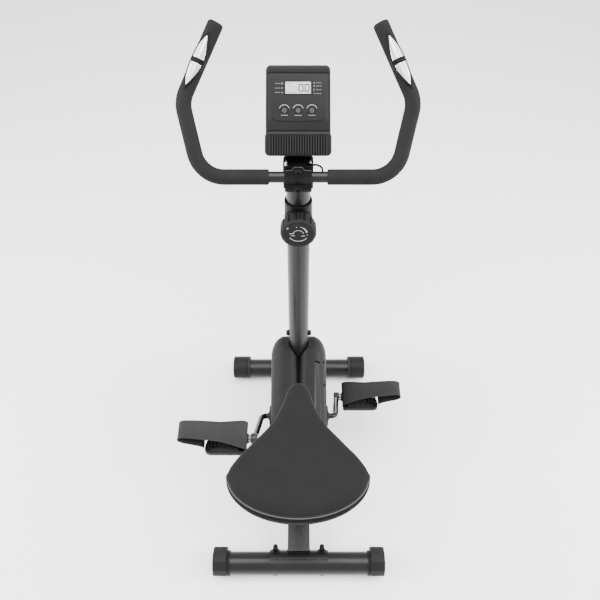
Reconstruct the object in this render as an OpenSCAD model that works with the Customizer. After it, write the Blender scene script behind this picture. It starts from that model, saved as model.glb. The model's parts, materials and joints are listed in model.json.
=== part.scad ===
// Upright magnetic exercise bike.
// X runs across the bike, Y points forwards and Z points up.
// The origin is on the floor, under the middle of the bike.

/* [Base] */
// Distance between the axes of the two floor tubes
wheelbase = 620; // [600:5:640]
// Width over the caps of the rear floor tube
rear_width = 466; // [440:2:500]
// Width over the caps of the front floor tube
front_width = 429; // [410:1:460]
// Distance between the two bolts of a floor tube
bolt_spacing = 127; // [115:1:135]

/* [Drive] */
// Crank length, from the crank axis to the pedal spindle
crank_len = 155; // [150:1:160]
// Angle of the cranks above level, with the left pedal up and back
crank_angle = 42; // [0:1:80]
// Width of a pedal
pedal_w = 102; // [96:1:106]
// Length of a pedal from heel to toe
pedal_len = 82; // [76:1:88]
// Radius of the large belt pulley
pulley_r = 104; // [98:1:106]
// Radius of the small belt pulley
small_pulley_r = 20; // [19:0.5:22]
// Radius of the flywheel
flywheel_r = 98; // [90:1:98]

/* [Mast and handlebar] */
// Lean of the mast, forwards from upright
mast_lean = 7.2; // [6:0.1:8]
// Outer diameter of the mast
mast_d = 50; // [49:0.5:51]
// Outer diameter of the handlebar tube
bar_d = 22; // [22:0.5:24]
// Outer diameter of the foam grips
grip_d = 30.5; // [29:0.5:33]
// Rise of the handlebar's plane above level
bar_rise = 47.8; // [44:0.1:52]

/* [Console] */
// Width of the console
console_w = 124; // [118:1:130]
// Height of the console along its face
console_h = 165; // [160:1:170]
// Angle of the face's normal above level
console_tilt = 35; // [32:1:38]

/* [Saddle] */
// Length of the saddle
saddle_len = 280; // [270:1:285]
// Width of the saddle
saddle_w = 267; // [250:1:270]
// Height of the saddle's top above the floor
saddle_top = 763; // [755:1:770]
// Lean of the seat tube, backwards from upright
seat_lean = 16.5; // [15:0.5:18]

/* [Fit] */
// Radial play where one piece turns or slides on another
running_fit = 0.1; // [0.05:0.01:0.1]
// Free space between a moving piece and its neighbour
air = 0.3; // [0.3:0.05:0.5]

/* [Hidden] */
$fn = 48;
hull_fn = 32;

// Floor tubes and their caps
floor_tube_r = 30;
floor_tube_z = 33;
floor_tube_wall = 2;
rear_y = -277;
front_y = rear_y + wheelbase;
rear_cap_len = 38;
rear_cap_offset = 4;
rear_cap_flat_r = floor_tube_z + rear_cap_offset;
rear_cap_r = rear_cap_flat_r / cos(18);
front_cap_len = 55;
front_cap_offset = 2.5;
front_cap_r = 36;
cap_end = 4;
wheel_r = 13;
wheel_w = 14;
wheel_pin_r = 4;
wheel_y = front_y + 41;
wheel_z = 17.5;
wheel_x = front_width / 2 - 24;
cheek = 5;

// Bolts of the floor tubes
floor_bolt_r = 4;
floor_bolt_angle = 42;
bolt_play = 0.1;
hook_w = 160;
hook_t = 4;
washer_t = 2.5;

// Main beam, posts and forks
beam_w = 60;
beam_bottom = 45;
beam_top = 75;
beam_inset = 20;
tube_wall = 2;
post_w = 40;
crank_y = rear_y + 322;
crank_z = 276;
shell_r = 28.5;
cup_r = 25.5;
shell_half = 34;
bridge_z = 325;
bridge_end = rear_y + 436;
flywheel_y = rear_y + 465;
flywheel_z = 205;
fork_t = 5;
fork_left_x = -40;
fork_right_x = 55;
fork_base_w = 60;

// Flywheel, pulleys and belt
flywheel_left_x = -28;
flywheel_w = 30;
rim_w = 28;
web_w = 12;
hub_r = 18;
pulley_x = 37;
pulley_w = 14;
axle_r = 6;
bearing_r = 14;
bearing_w = 8;
belt_t = 3;
belt_w = 12;

// Magnetic brake
arm_r = 104;
arm_t = 3;
arm_w = 20;
arm_x = -26;
arm_from = -25;
arm_to = 70;
arm_open = 3;
magnet_t = 3;
pivot_r = 5;
pivot_out = 110;
pivot_boss_r = 8;
pivot_y = flywheel_y + pivot_out * cos(arm_from);
pivot_z = flywheel_z + pivot_out * sin(arm_from);
pivot_spring_x = arm_x + arm_w + 1;

// Housing shells, seen from the side as three circles
housing_half = 73;
housing_round = 38;
housing_wall = 3;
housing_gap = 0.15;
slice_t = 0.4;
wheel_house_r = 122;
neck_r = 42;
neck_drop = 34;
neck_y = rear_y + 428;
neck_z = 435;
screw_spots = [
    [neck_y - 32, neck_z], [neck_y + 32, neck_z],
    [rear_y + 520, 330], [rear_y + 345, 405]
];

// Cranks and pedals
rod_r = 7.5;
joint_lap = 0.05;
arm_x0 = 92;
arm_x1 = 101;
arm_x2 = 111;
boss_r = 14;
boss_w = 16;
disc_r = 28.5;
disc_x = 76;
disc_t = 4;
spindle_r = 7;
pedal_x = 130;
pedal_t = 22;
strap_t = 2.6;
strap_w = 74;
strap_mid_w = 53;
strap_end_w = 45;

// Seat tube, post and pin
seat_y = rear_y + 175;
seat_tube_r = 25;
seat_tube_len = 430;
bushing_len = 70;
post_r = 19;
post_from = 250;
hole_step = 25;
pin_at = 395;
pin_r = 5;
saddle_plate_z = 698;
saddle_plate_t = 4;
saddle_post_y = seat_y - (saddle_plate_z - beam_top) * tan(seat_lean);

// Saddle
saddle_base_z = saddle_plate_z + saddle_plate_t;
saddle_base_t = 10;
saddle_nose_y = rear_y + 160;
saddle_wide_y = saddle_nose_y - 197;
saddle_back_y = saddle_nose_y - saddle_len;
nose_round = 22;
// Distance behind the nose, and share of the full half width there
saddle_sides = [
    [0, 0.154], [16, 0.169], [31, 0.199], [46, 0.236], [61, 0.277], [76, 0.33], [91, 0.397],
    [106, 0.487], [121, 0.592], [136, 0.693], [151, 0.798], [166, 0.884], [181, 0.955],
    [190, 0.987], [197, 1]
];

// Mast, whose own frame has its origin on the mast's axis
mast_r = mast_d / 2;
mast_wall = 2;
mast_y = rear_y + 441;
mast_z = 560;
mast_from = -70;
mast_to = 474;
stub_r = mast_r - mast_wall - running_fit;
stub_from = -222;
stub_to = 40;
mast_bolt_at = -45;
collar_from = 313;
collar_to = 377;
collar_r = 29.5;
knob_at = 334;
knob_r = 36;
knob_from = -34;
knob_len = 25.4;
stem_r = 5;

// Handlebar and clamp, placed in the mast's frame
bar_r = bar_d / 2;
bar_wall = 1.5;
bar_out = -39.3;
bar_at = 458.7;
bar_y = mast_y + bar_out * cos(mast_lean) + bar_at * sin(mast_lean);
bar_z = mast_z - bar_out * sin(mast_lean) + bar_at * cos(mast_lean);
bend_r = 58;
bend_step = 0.02;
bend_lap = 0.5;
turn_low = 77.7;
turn_high = 38.2;
run_low = 144.3;
run_mid = 78.5;
run_high = 133.3;
grip_r = grip_d / 2;
grip_from = 57;
grip_end = 4;
sensor_at = 59;
sensor_half = 57;
sensor_half_w = 16;
sensor_r = 17.6;
sensor_face = 8;
plate_half = 49;
plate_half_w = 12;
plate_gap_w = 9;
plate_t = 1.2;
clamp_half = 29.5;
plate_half_x = 26.5;
cheek_in = 26.5;
cheek_deep = 28;
cheek_high = 26;
cable_slot_x = 44;
cable_slot_w = 6;
cable_slot_angle = 80;
clamp_h = 27;
clamp_t = 3;
clamp_bolt_r = 4;
clamp_bolt_at = 20;

// Console
console_y = rear_y + 480;
console_z = 1055;
console_depth = 40;
console_split = 20;
console_wall = 2.5;
console_corner = 9;
lcd_w = 50;
lcd_h = 24;
lcd_at = console_h - 43;
button_r = 8.8;
button_at = console_h - 84;
button_pitch = 26;
lip_h = 40;
lip_out = 3;

// Middle line of the strap, seen from behind: across X and up Z
strap_line = [
    [pedal_x - 1.5, 10], [pedal_x - 1.5, 17], [pedal_x + 6, 24], [pedal_x + 32, 33],
    [pedal_x + 72, 42], [pedal_x + 112, 50], [pedal_x + 142, 54], [pedal_x + 158, 52],
    [pedal_x + 165, 43], [pedal_x + 164, 33], [pedal_x + 154, 24], [pedal_x + 136, 17],
    [pedal_x + 116, 9], [pedal_x + 104.5, 0]
];

// Saddle's studs and the steps of its outline
saddle_studs = [[-24, -42], [24, -42], [0, 44]];
saddle_steps = 20;

// Cables, in points chosen along each route
cable_sides = 8;
pulse_r = 2.1;
pulse_route = [
    [20, -4, 462], [28, -5, 463], [34, -9, 466.5], [40, -18, 471], [45, -28, 474],
    [47, -35, 473], [47, -39, 470.5], [47, -39.3, 467]
];
tension_r = 1.5;
tension_route = [
    [0, mast_y + 38, 870], [0, mast_y + 25, 760], [0, mast_y, 560],
    [0, mast_y - 14, 450], [0, mast_y - 26, 345], [2, mast_y - 20, 320],
    [4, mast_y + 4, 313], [4, mast_y + 30, 315], [2, mast_y + 50, 318]
];

// ---------------------------------------------------------------- helpers

// A rod along X between two values of X
module x_rod(x0, x1, r, y, z)
    translate([x0, y, z]) rotate([0, 90, 0]) cylinder(r = r, h = x1 - x0);

// Draws in the (Y, Z) plane and extrudes towards +X
module side_on(x0, w)
    translate([x0, 0, 0]) rotate([90, 0, 90]) linear_extrude(w) children();

// Keeps the right-hand side as drawn and mirrors the left-hand side
module on_side(side) {
    if (side > 0) children();
    else mirror([1, 0, 0]) children();
}

module both_sides()
    for (side = [-1, 1]) on_side(side) children();

module at_mast() translate([0, mast_y, mast_z]) rotate([-mast_lean, 0, 0]) children();
module at_seat() translate([0, seat_y, beam_top]) rotate([seat_lean, 0, 0]) children();
module at_bar() translate([0, bar_y, bar_z]) rotate([bar_rise, 0, 0]) children();
module at_console()
    translate([0, console_y, console_z]) rotate([90 - console_tilt, 0, 0]) children();

// A rod along Y in the current frame
module y_rod(y0, y1, r, z)
    translate([0, y1, z]) rotate([90, 0, 0]) cylinder(r = r, h = y1 - y0);

module rounded_rect(w, h, r) {
    translate([-w / 2 + r, 0]) square([w - 2 * r, h]);
    translate([-w / 2, r]) square([w, h - 2 * r]);
    for (x = [-w / 2 + r, w / 2 - r], y = [r, h - r]) translate([x, y]) circle(r);
}

function unit(v) = v / norm(v);
function route_ring(route, i, r, side_dir) =
    let (before = route[max(i - 1, 0)], after = route[min(i + 1, len(route) - 1)])
    let (along = unit(after - before), a = unit(cross(along, side_dir)), b = cross(along, a))
    [for (k = [0:cable_sides - 1])
        route[i] + r * (a * cos(360 * k / cable_sides) + b * sin(360 * k / cable_sides))];

// A round cord of radius r along a route
module cord(route, r, side_dir) {
    last = len(route) - 1;
    n = cable_sides;
    polyhedron(
        points = [for (i = [0:last]) each route_ring(route, i, r, side_dir)],
        faces = concat(
            [[for (k = [0:n - 1]) k]],
            [[for (k = [n - 1:-1:0]) last * n + k]],
            [for (i = [0:last - 1], k = [0:n - 1])
                [i * n + k, (i + 1) * n + k, (i + 1) * n + (k + 1) % n, i * n + (k + 1) % n]]
        )
    );
}

// ------------------------------------------------------- floor tubes, base

// The axis of one bolt of a floor tube; dir is 1 when its nut points forwards
module at_floor_bolts(tube_y, dir)
    for (x = [-bolt_spacing / 2, bolt_spacing / 2])
        translate([x, tube_y, floor_tube_z])
            rotate([dir > 0 ? floor_bolt_angle - 90 : 90 - floor_bolt_angle, 0, 0]) children();

module all_floor_bolts() {
    at_floor_bolts(rear_y, 1) children();
    at_floor_bolts(front_y, -1) children();
}

module floor_tube(tube_y, half) {
    difference() {
        x_rod(-half, half, floor_tube_r, tube_y, floor_tube_z);
        x_rod(-half - 1, half + 1, floor_tube_r - floor_tube_wall, tube_y, floor_tube_z);
        all_floor_bolts()
            translate([0, 0, -40]) cylinder(r = floor_bolt_r + bolt_play, h = 80);
    }
}

module rear_stabilizer()
    color("#1d1d1f") floor_tube(rear_y, rear_width / 2 - cap_end - air);

module front_stabilizer()
    color("#1d1d1f") floor_tube(front_y, front_width / 2 - cap_end);

// Ten-sided cap; it turns on the tube's end and its offset levels the bike
module rear_cap(side)
    color("#2b2b2d") on_side(side) difference() {
        translate([
            rear_width / 2 - rear_cap_len, rear_y + rear_cap_offset,
            floor_tube_z + rear_cap_offset
        ])
            rotate([0, 90, 0]) rotate([0, 0, 18]) cylinder(r = rear_cap_r, h = rear_cap_len, $fn = 10);
        x_rod(
            rear_width / 2 - rear_cap_len - 1, rear_width / 2 - cap_end,
            floor_tube_r + running_fit, rear_y, floor_tube_z
        );
    }

module rear_cap_left() rear_cap(-1);
module rear_cap_right() rear_cap(1);

// Round cap with a flat on the floor and two cheeks that hold a small wheel
module front_cap(side) {
    x0 = front_width / 2 - front_cap_len;
    cheek_x = wheel_w / 2 + 0.6;
    color("#2b2b2d") on_side(side) {
        difference() {
            union() {
                x_rod(
                    x0, front_width / 2, front_cap_r,
                    front_y + front_cap_offset, floor_tube_z + front_cap_offset
                );
                for (x = [wheel_x - cheek_x - cheek, wheel_x + cheek_x]) {
                    x_rod(x, x + cheek, 10, wheel_y, wheel_z);
                    translate([x, front_y + 20, wheel_z - 10]) cube([cheek, wheel_y - front_y - 20, 20]);
                }
            }
            x_rod(x0 - 1, front_width / 2 - cap_end, floor_tube_r, front_y, floor_tube_z);
            translate([x0 - 1, front_y - 60, -20]) cube([front_cap_len + 2, 140, 20]);
            x_rod(
                wheel_x - cheek_x, wheel_x + cheek_x, wheel_r + 1.5, wheel_y, wheel_z
            );
        }
        x_rod(wheel_x - cheek_x - 1, wheel_x + cheek_x + 1, wheel_pin_r, wheel_y, wheel_z);
    }
}

module front_cap_left() front_cap(-1);
module front_cap_right() front_cap(1);

module transport_wheel(side)
    color("#3a3a3c") on_side(side) difference() {
        x_rod(wheel_x - wheel_w / 2, wheel_x + wheel_w / 2, wheel_r, wheel_y, wheel_z);
        x_rod(wheel_x - wheel_w, wheel_x + wheel_w, wheel_pin_r + running_fit, wheel_y, wheel_z);
    }

module transport_wheel_left() transport_wheel(-1);
module transport_wheel_right() transport_wheel(1);

module stabilizer_bolts()
    color("#19191b") all_floor_bolts() {
        translate([0, 0, -floor_tube_r - 3]) cylinder(r = 9, h = 3);
        translate([0, 0, -floor_tube_r - 0.5]) cylinder(r = floor_bolt_r, h = 74);
    }

module curved_washers()
    color("#202022") all_floor_bolts()
        difference() {
            translate([0, 0, floor_tube_r + hook_t]) cylinder(r = 10, h = washer_t);
            cylinder(r = floor_bolt_r + bolt_play, h = 60);
        }

module acorn_nuts() {
    nut_from = floor_tube_r + hook_t + washer_t;
    color("#19191b") all_floor_bolts()
        difference() {
            union() {
                translate([0, 0, nut_from]) cylinder(r = 8, h = 8, $fn = 6);
                translate([0, 0, nut_from + 7]) cylinder(r = 6.6, h = 4);
                translate([0, 0, nut_from + 11]) sphere(r = 6.6);
            }
            cylinder(r = floor_bolt_r, h = 43.5);
        }
}

// -------------------------------------------------------------- main frame

// Curved plate that hugs a floor tube on the side of the beam
module tube_hook(tube_y, dir)
    intersection() {
        difference() {
            x_rod(-hook_w / 2, hook_w / 2, floor_tube_r + hook_t, tube_y, floor_tube_z);
            x_rod(-hook_w, hook_w, floor_tube_r, tube_y, floor_tube_z);
        }
        translate([-hook_w / 2, dir > 0 ? tube_y : tube_y - 40, floor_tube_z - 8])
            cube([hook_w, 40, 60]);
    }

module beam()
    difference() {
        translate([-beam_w / 2, rear_y + beam_inset, beam_bottom])
            cube([beam_w, wheelbase - 2 * beam_inset, beam_top - beam_bottom]);
        translate([-beam_w / 2 + tube_wall, rear_y - 1, beam_bottom + tube_wall])
            cube([beam_w - 2 * tube_wall, wheelbase + 2, beam_top - beam_bottom - 2 * tube_wall]);
        for (y = [rear_y, front_y]) x_rod(-beam_w, beam_w, floor_tube_r, y, floor_tube_z);
    }

module crank_post()
    difference() {
        translate([-post_w / 2, crank_y - post_w / 2, beam_top])
            cube([post_w, post_w, bridge_z - beam_top + 2]);
        translate([-post_w / 2 + tube_wall, crank_y - post_w / 2 + tube_wall, beam_top - 1])
            cube([post_w - 2 * tube_wall, post_w - 2 * tube_wall, bridge_z - beam_top + 2]);
    }

// Square tube from the crank post to the stub that carries the mast
module bridge() {
    y0 = crank_y - post_w / 2;
    difference() {
        translate([-post_w / 2, y0, bridge_z]) cube([post_w, bridge_end - y0, post_w]);
        translate([-post_w / 2 + tube_wall, y0 + tube_wall, bridge_z + tube_wall])
            cube([post_w - 2 * tube_wall, bridge_end - y0 + 1, post_w - 2 * tube_wall]);
    }
}

module fork_plate(x0)
    side_on(x0, fork_t) {
        translate([flywheel_y, flywheel_z]) circle(17);
        polygon([
            [flywheel_y - fork_base_w / 2, beam_top + fork_t - 1],
            [flywheel_y + fork_base_w / 2, beam_top + fork_t - 1],
            [flywheel_y + 17, flywheel_z], [flywheel_y - 17, flywheel_z]
        ]);
    }

module fork()
    difference() {
        union() {
            fork_plate(fork_left_x);
            fork_plate(fork_right_x);
            translate([fork_left_x, flywheel_y - fork_base_w / 2, beam_top])
                cube([fork_right_x + fork_t - fork_left_x, fork_base_w, fork_t]);
        }
        x_rod(fork_left_x - 1, fork_right_x + 10, axle_r + bolt_play, flywheel_y, flywheel_z);
    }

// Bracket that carries the brake arm's pivot pin
module brake_bracket() {
    translate([-2.5, flywheel_y + 20, beam_top]) cube([5, 105, 8]);
    side_on(-34, 5) {
        translate([pivot_y, pivot_z]) circle(pivot_boss_r);
        polygon([
            [pivot_y - 22, beam_top], [pivot_y + 12, beam_top],
            [pivot_y + pivot_boss_r, pivot_z], [pivot_y - pivot_boss_r, pivot_z]
        ]);
    }
    x_rod(-30, arm_x + arm_w + 4, pivot_r, pivot_y, pivot_z);
}

module seat_tube()
    difference() {
        union() {
            at_seat() translate([0, 0, -12]) cylinder(r = seat_tube_r, h = seat_tube_len + 12);
            at_seat() y_rod(-seat_tube_r - 12, -post_r - 4, 10, pin_at);
        }
        at_seat() translate([0, 0, -20]) cylinder(r = seat_tube_r - tube_wall, h = seat_tube_len + 30);
        at_seat() y_rod(-60, -10, pin_r + running_fit, pin_at);
        translate([-50, seat_y - 60, beam_top - 60]) cube([100, 120, 60]);
    }

module stub()
    at_mast() difference() {
        translate([0, 0, stub_from]) cylinder(r = stub_r, h = stub_to - stub_from);
        translate([0, 0, stub_from - 1])
            cylinder(r = stub_r - tube_wall, h = stub_to - stub_from + 2);
        translate([-40, 0, mast_bolt_at]) rotate([0, 90, 0]) cylinder(r = 4, h = 80);
    }

module main_frame()
    color("#1d1d1f") {
        beam();
        tube_hook_rear();
        tube_hook_front();
        difference() {
            union() {
                crank_post();
                x_rod(-shell_half, shell_half, shell_r, crank_y, crank_z);
            }
            x_rod(-shell_half - 1, shell_half + 1, cup_r, crank_y, crank_z);
        }
        difference() {
            bridge();
            at_mast() translate([0, 0, stub_from - 60])
                cylinder(r = stub_r - tube_wall, h = stub_to - stub_from + 60);
        }
        stub();
        fork();
        brake_bracket();
        seat_tube();
    }

module drilled_hook(tube_y, dir)
    difference() {
        tube_hook(tube_y, dir);
        all_floor_bolts()
            translate([0, 0, -40]) cylinder(r = floor_bolt_r + bolt_play, h = 90);
    }

module tube_hook_rear() drilled_hook(rear_y, 1);
module tube_hook_front() drilled_hook(front_y, -1);

// ----------------------------------------------------------------- housing

// One thin slice of the housing's side outline, drawn in by inset
module housing_slice(x, inset, grow)
    translate([x, 0, 0]) rotate([90, 0, 90]) {
        for (c = [
            [crank_y, crank_z, wheel_house_r],
            [flywheel_y, flywheel_z, wheel_house_r],
            [neck_y, neck_z, neck_r]
        ])
            translate([c[0], c[1] - (c[2] == neck_r ? neck_drop * inset / housing_round : 0), 0])
                cylinder(r = c[2] - inset + grow, h = slice_t, $fn = hull_fn);
    }

// The right half of the housing as a solid, smaller by the wall when hollow
module housing_solid(shrink) {
    round_r = housing_round - shrink;
    flat_x = housing_half - housing_round;
    valley = shrink > 0 ? -1 : housing_gap;
    hull() {
        for (v = [[valley, 9], [4, 6], [8, 3.4], [13, 1.2], [20, 0]])
            housing_slice(v[0], v[1], -shrink);
        for (a = [0:18:90])
            housing_slice(flat_x + round_r * sin(a), round_r * (1 - cos(a)), -shrink);
    }
}

module screw_posts(x0, x1)
    for (p = screw_spots) x_rod(x0, x1, 5.5, p[0], p[1]);

module housing_shell(side) {
    post_clear = 1.5;
    difference() {
        on_side(side) {
            difference() {
                housing_solid(0);
                housing_solid(housing_wall);
            }
            intersection() {
                housing_solid(0);
                screw_posts(housing_gap, housing_half);
            }
        }
        x_rod(-90, 90, 24, crank_y, crank_z);
        at_mast() translate([0, 0, -140]) cylinder(r = stub_r + 1, h = 90);
        translate([fork_left_x - 6, crank_y - post_w / 2 - post_clear, beam_top])
            cube([
                fork_right_x + fork_t - fork_left_x + 12,
                flywheel_y + fork_base_w / 2 + 5 - (crank_y - post_w / 2 - post_clear), 90
            ]);
        translate([-36, flywheel_y + 5, beam_top]) cube([52, 118, 96]);
    }
}

module housing_left()
    color("#444446") difference() {
        housing_shell(-1);
        for (p = screw_spots) x_rod(-15, 1, 1.9, p[0], p[1]);
    }

module housing_right()
    color("#444446") difference() {
        housing_shell(1);
        for (p = screw_spots) {
            x_rod(-1, 30, 2.1, p[0], p[1]);
            x_rod(26, 90, 4.4, p[0], p[1]);
        }
    }

module housing_screws()
    color("#19191b") for (p = screw_spots) {
        x_rod(-14, 26, 1.9, p[0], p[1]);
        x_rod(26, 29, 4.2, p[0], p[1]);
    }

// ------------------------------------------------------ crank and drive

module bearing_cups()
    color("#8c8f94") both_sides() difference() {
        union() {
            x_rod(shell_half - 12, shell_half, cup_r, crank_y, crank_z);
            x_rod(shell_half, shell_half + 2, shell_r, crank_y, crank_z);
        }
        x_rod(shell_half - 13, shell_half + 3, 17, crank_y, crank_z);
    }

module bearing_cones()
    color("#a5a8ad") both_sides() difference() {
        x_rod(shell_half - 9, pulley_x, 17 - running_fit, crank_y, crank_z);
        x_rod(0, 60, rod_r, crank_y, crank_z);
    }

module crank_discs()
    color("#242426") both_sides() difference() {
        x_rod(disc_x, disc_x + disc_t, disc_r, crank_y, crank_z);
        x_rod(60, 100, rod_r, crank_y, crank_z);
    }

// A straight length of rod between two points, with a ball at its far end
module rod_between(p, q) {
    d = q - p;
    translate(p) rotate([0, atan2(norm([d[0], d[1]]), d[2]), atan2(d[1], d[0])])
        cylinder(r = rod_r, h = norm(d));
    translate(q) sphere(r = rod_r + joint_lap);
}

// One arm, drawn hanging straight down from the crank's axis
module crank_arm()
    difference() {
        union() {
            translate([arm_x0, 0, 0]) sphere(r = rod_r + joint_lap);
            rod_between([arm_x0, 0, 0], [arm_x1, 0, -14]);
            rod_between([arm_x1, 0, -14], [arm_x2 - 2, 0, -crank_len + 16]);
            x_rod(arm_x2 - boss_w / 2, arm_x2 + boss_w / 2, boss_r, 0, -crank_len);
            rod_between([arm_x2 - 2, 0, -crank_len + 16], [arm_x2, 0, -crank_len + 6]);
        }
        x_rod(arm_x2 - 20, arm_x2 + 20, spindle_r, 0, -crank_len);
    }

module at_crank(side)
    translate([0, crank_y, crank_z])
        rotate([side > 0 ? 90 - crank_angle : -90 - crank_angle, 0, 0])
            on_side(side) children();

module crank()
    color("#161618") {
        x_rod(-arm_x0, arm_x0, rod_r, crank_y, crank_z);
        for (side = [-1, 1]) at_crank(side) crank_arm();
    }

module drive_pulley()
    color("#2e2e30") difference() {
        union() {
            x_rod(pulley_x, pulley_x + pulley_w, 24, crank_y, crank_z);
            x_rod(pulley_x + 4, pulley_x + 10, pulley_r - 6, crank_y, crank_z);
            difference() {
                x_rod(pulley_x, pulley_x + pulley_w, pulley_r, crank_y, crank_z);
                x_rod(pulley_x - 1, pulley_x + pulley_w + 1, pulley_r - 8, crank_y, crank_z);
            }
        }
        x_rod(0, 70, rod_r, crank_y, crank_z);
        for (a = [0:60:300])
            x_rod(0, 70, 16, crank_y + 60 * cos(a), crank_z + 60 * sin(a));
    }

// Outline round both pulleys, each grown by t
module belt_outline(t)
    hull() {
        translate([crank_y, crank_z]) circle(pulley_r + t, $fn = 72);
        translate([flywheel_y, flywheel_z]) circle(small_pulley_r + t, $fn = 72);
    }

module drive_belt()
    color("#141414") side_on(pulley_x + (pulley_w - belt_w) / 2, belt_w)
        difference() {
            belt_outline(air + belt_t);
            belt_outline(air);
        }

module flywheel() {
    right_x = flywheel_left_x + flywheel_w;
    web_x = flywheel_left_x + (flywheel_w - web_w) / 2;
    color("#55585c") difference() {
        union() {
            difference() {
                x_rod(flywheel_left_x, right_x, flywheel_r, flywheel_y, flywheel_z);
                x_rod(
                    flywheel_left_x - 1, right_x + 1, flywheel_r - rim_w, flywheel_y, flywheel_z
                );
            }
            x_rod(web_x, web_x + web_w, flywheel_r - rim_w + 1, flywheel_y, flywheel_z);
            x_rod(flywheel_left_x, pulley_x + pulley_w, hub_r, flywheel_y, flywheel_z);
            x_rod(pulley_x, pulley_x + pulley_w, small_pulley_r, flywheel_y, flywheel_z);
        }
        x_rod(-60, 70, axle_r + 1.5, flywheel_y, flywheel_z);
        x_rod(-60, flywheel_left_x + bearing_w, bearing_r, flywheel_y, flywheel_z);
        x_rod(pulley_x + pulley_w - bearing_w, 70, bearing_r, flywheel_y, flywheel_z);
    }
}

module flywheel_bearings()
    color("#b9bcc0")
        for (x = [flywheel_left_x, pulley_x + pulley_w - bearing_w]) difference() {
            x_rod(x, x + bearing_w, bearing_r, flywheel_y, flywheel_z);
            x_rod(x - 1, x + bearing_w + 1, axle_r + running_fit, flywheel_y, flywheel_z);
        }

module flywheel_axle()
    color("#8c8f94") x_rod(-49, 68, axle_r, flywheel_y, flywheel_z);

module axle_nuts()
    color("#8c8f94") for (x = [fork_left_x - 8, fork_right_x + fork_t]) difference() {
        translate([x, flywheel_y, flywheel_z]) rotate([0, 90, 0]) cylinder(r = 10, h = 8, $fn = 6);
        x_rod(x - 1, x + 9, axle_r, flywheel_y, flywheel_z);
    }

// Swings its children about the brake pivot to the slackest setting
module brake_open()
    translate([0, pivot_y, pivot_z]) rotate([-arm_open, 0, 0])
        translate([0, -pivot_y, -pivot_z]) children();

module wheel_arc(r, t, x0, w, from, to)
    translate([x0, flywheel_y, flywheel_z]) rotate([90, 0, 90]) rotate([0, 0, from])
        rotate_extrude(angle = to - from) translate([r, 0]) square([t, w]);

module brake_arm()
    color("#6c6f74") brake_open() difference() {
        union() {
            wheel_arc(arm_r, arm_t, arm_x, arm_w, arm_from + 1, arm_to);
            x_rod(arm_x, arm_x + arm_w, pivot_boss_r, pivot_y, pivot_z);
        }
        x_rod(arm_x - 1, arm_x + arm_w + 1, pivot_r + running_fit, pivot_y, pivot_z);
    }

module brake_magnets()
    color("#3c3f44") brake_open()
        for (a = [0, 24, 48])
            wheel_arc(arm_r - magnet_t, magnet_t, arm_x + 2, arm_w - 4, a, a + 16);

// Torsion spring round the pivot, between the bracket and the arm
module brake_spring() {
    turns = 5;
    steps = 12;
    pitch = 2.2;
    coil_r = pivot_r + 1.9;
    coil = [for (i = [0:turns * steps])
        let (a = 360 * i / steps)
        [
            pivot_spring_x + pitch * i / steps,
            pivot_y + coil_r * cos(a), pivot_z + coil_r * sin(a)
        ]];
    color("#9a9da2") cord(coil, 0.8, [1, 0, 0]);
}

module tension_cable() color("#101012") cord(tension_route, tension_r, [1, 0, 0]);

// ------------------------------------------------------------------ pedals

// Moves its children to a pedal's spindle; they are drawn for the right side
module at_pedal(side)
    translate([
        0, crank_y + side * crank_len * cos(crank_angle),
        crank_z - side * crank_len * sin(crank_angle)
    ])
        on_side(side) children();

module pedal_spindles()
    color("#8c8f94") for (side = [-1, 1]) at_pedal(side) {
        x_rod(arm_x2 - boss_w / 2, pedal_x + pedal_w - 8, spindle_r, 0, 0);
        translate([arm_x2 + boss_w / 2, 0, 0]) rotate([0, 90, 0]) cylinder(r = 9.5, h = 7, $fn = 6);
    }

// Pedal cage with a barrel, rails, ribs and a weight below that keeps it level
module pedal_body() {
    end_t = 6;
    rail = 7;
    half_l = pedal_len / 2;
    difference() {
        union() {
            x_rod(pedal_x, pedal_x + pedal_w, 12, 0, 0);
            for (x = [pedal_x, pedal_x + pedal_w - end_t])
                translate([x, -half_l, -pedal_t / 2]) cube([end_t, pedal_len, pedal_t]);
            for (y = [-half_l, half_l - rail])
                translate([pedal_x, y, -pedal_t / 2]) cube([pedal_w, rail, pedal_t]);
            for (x = [pedal_x + 26, pedal_x + 49, pedal_x + 72])
                translate([x, -half_l, -pedal_t / 2 + 3]) cube([4, pedal_len, pedal_t - 4]);
            for (y = [-26, 20])
                translate([pedal_x, y, -pedal_t / 2 + 5]) cube([pedal_w, 6, pedal_t - 6]);
            translate([pedal_x + 14, -24, -pedal_t / 2 - 10]) cube([pedal_w - 28, 48, 12]);
        }
        x_rod(pedal_x - 1, pedal_x + pedal_w - 6, spindle_r + running_fit, 0, 0);
    }
}

module pedal_body_left() color("#262628") at_pedal(-1) pedal_body();
module pedal_body_right() color("#262628") at_pedal(1) pedal_body();

function strap_normal(i) =
    let (a = strap_line[max(i - 1, 0)], b = strap_line[min(i + 1, len(strap_line) - 1)])
    let (d = unit(b - a)) [-d[1], d[0]];
function strap_side(t) =
    [for (i = [0:len(strap_line) - 1]) strap_line[i] + t * strap_normal(i)];
function reversed(list) = [for (i = [len(list) - 1:-1:0]) list[i]];

module pedal_strap()
    intersection() {
        rotate([90, 0, 0]) translate([0, 0, -strap_w / 2]) linear_extrude(strap_w)
            polygon(concat(strap_side(strap_t / 2), reversed(strap_side(-strap_t / 2))));
        translate([0, 0, -20]) linear_extrude(110)
            polygon([
                [pedal_x - 10, -strap_w / 2], [pedal_x + 8, -strap_w / 2],
                [pedal_x + 62, -strap_mid_w / 2], [pedal_x + 180, -strap_end_w / 2],
                [pedal_x + 180, strap_end_w / 2], [pedal_x + 62, strap_mid_w / 2],
                [pedal_x + 8, strap_w / 2], [pedal_x - 10, strap_w / 2]
            ]);
    }

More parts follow.
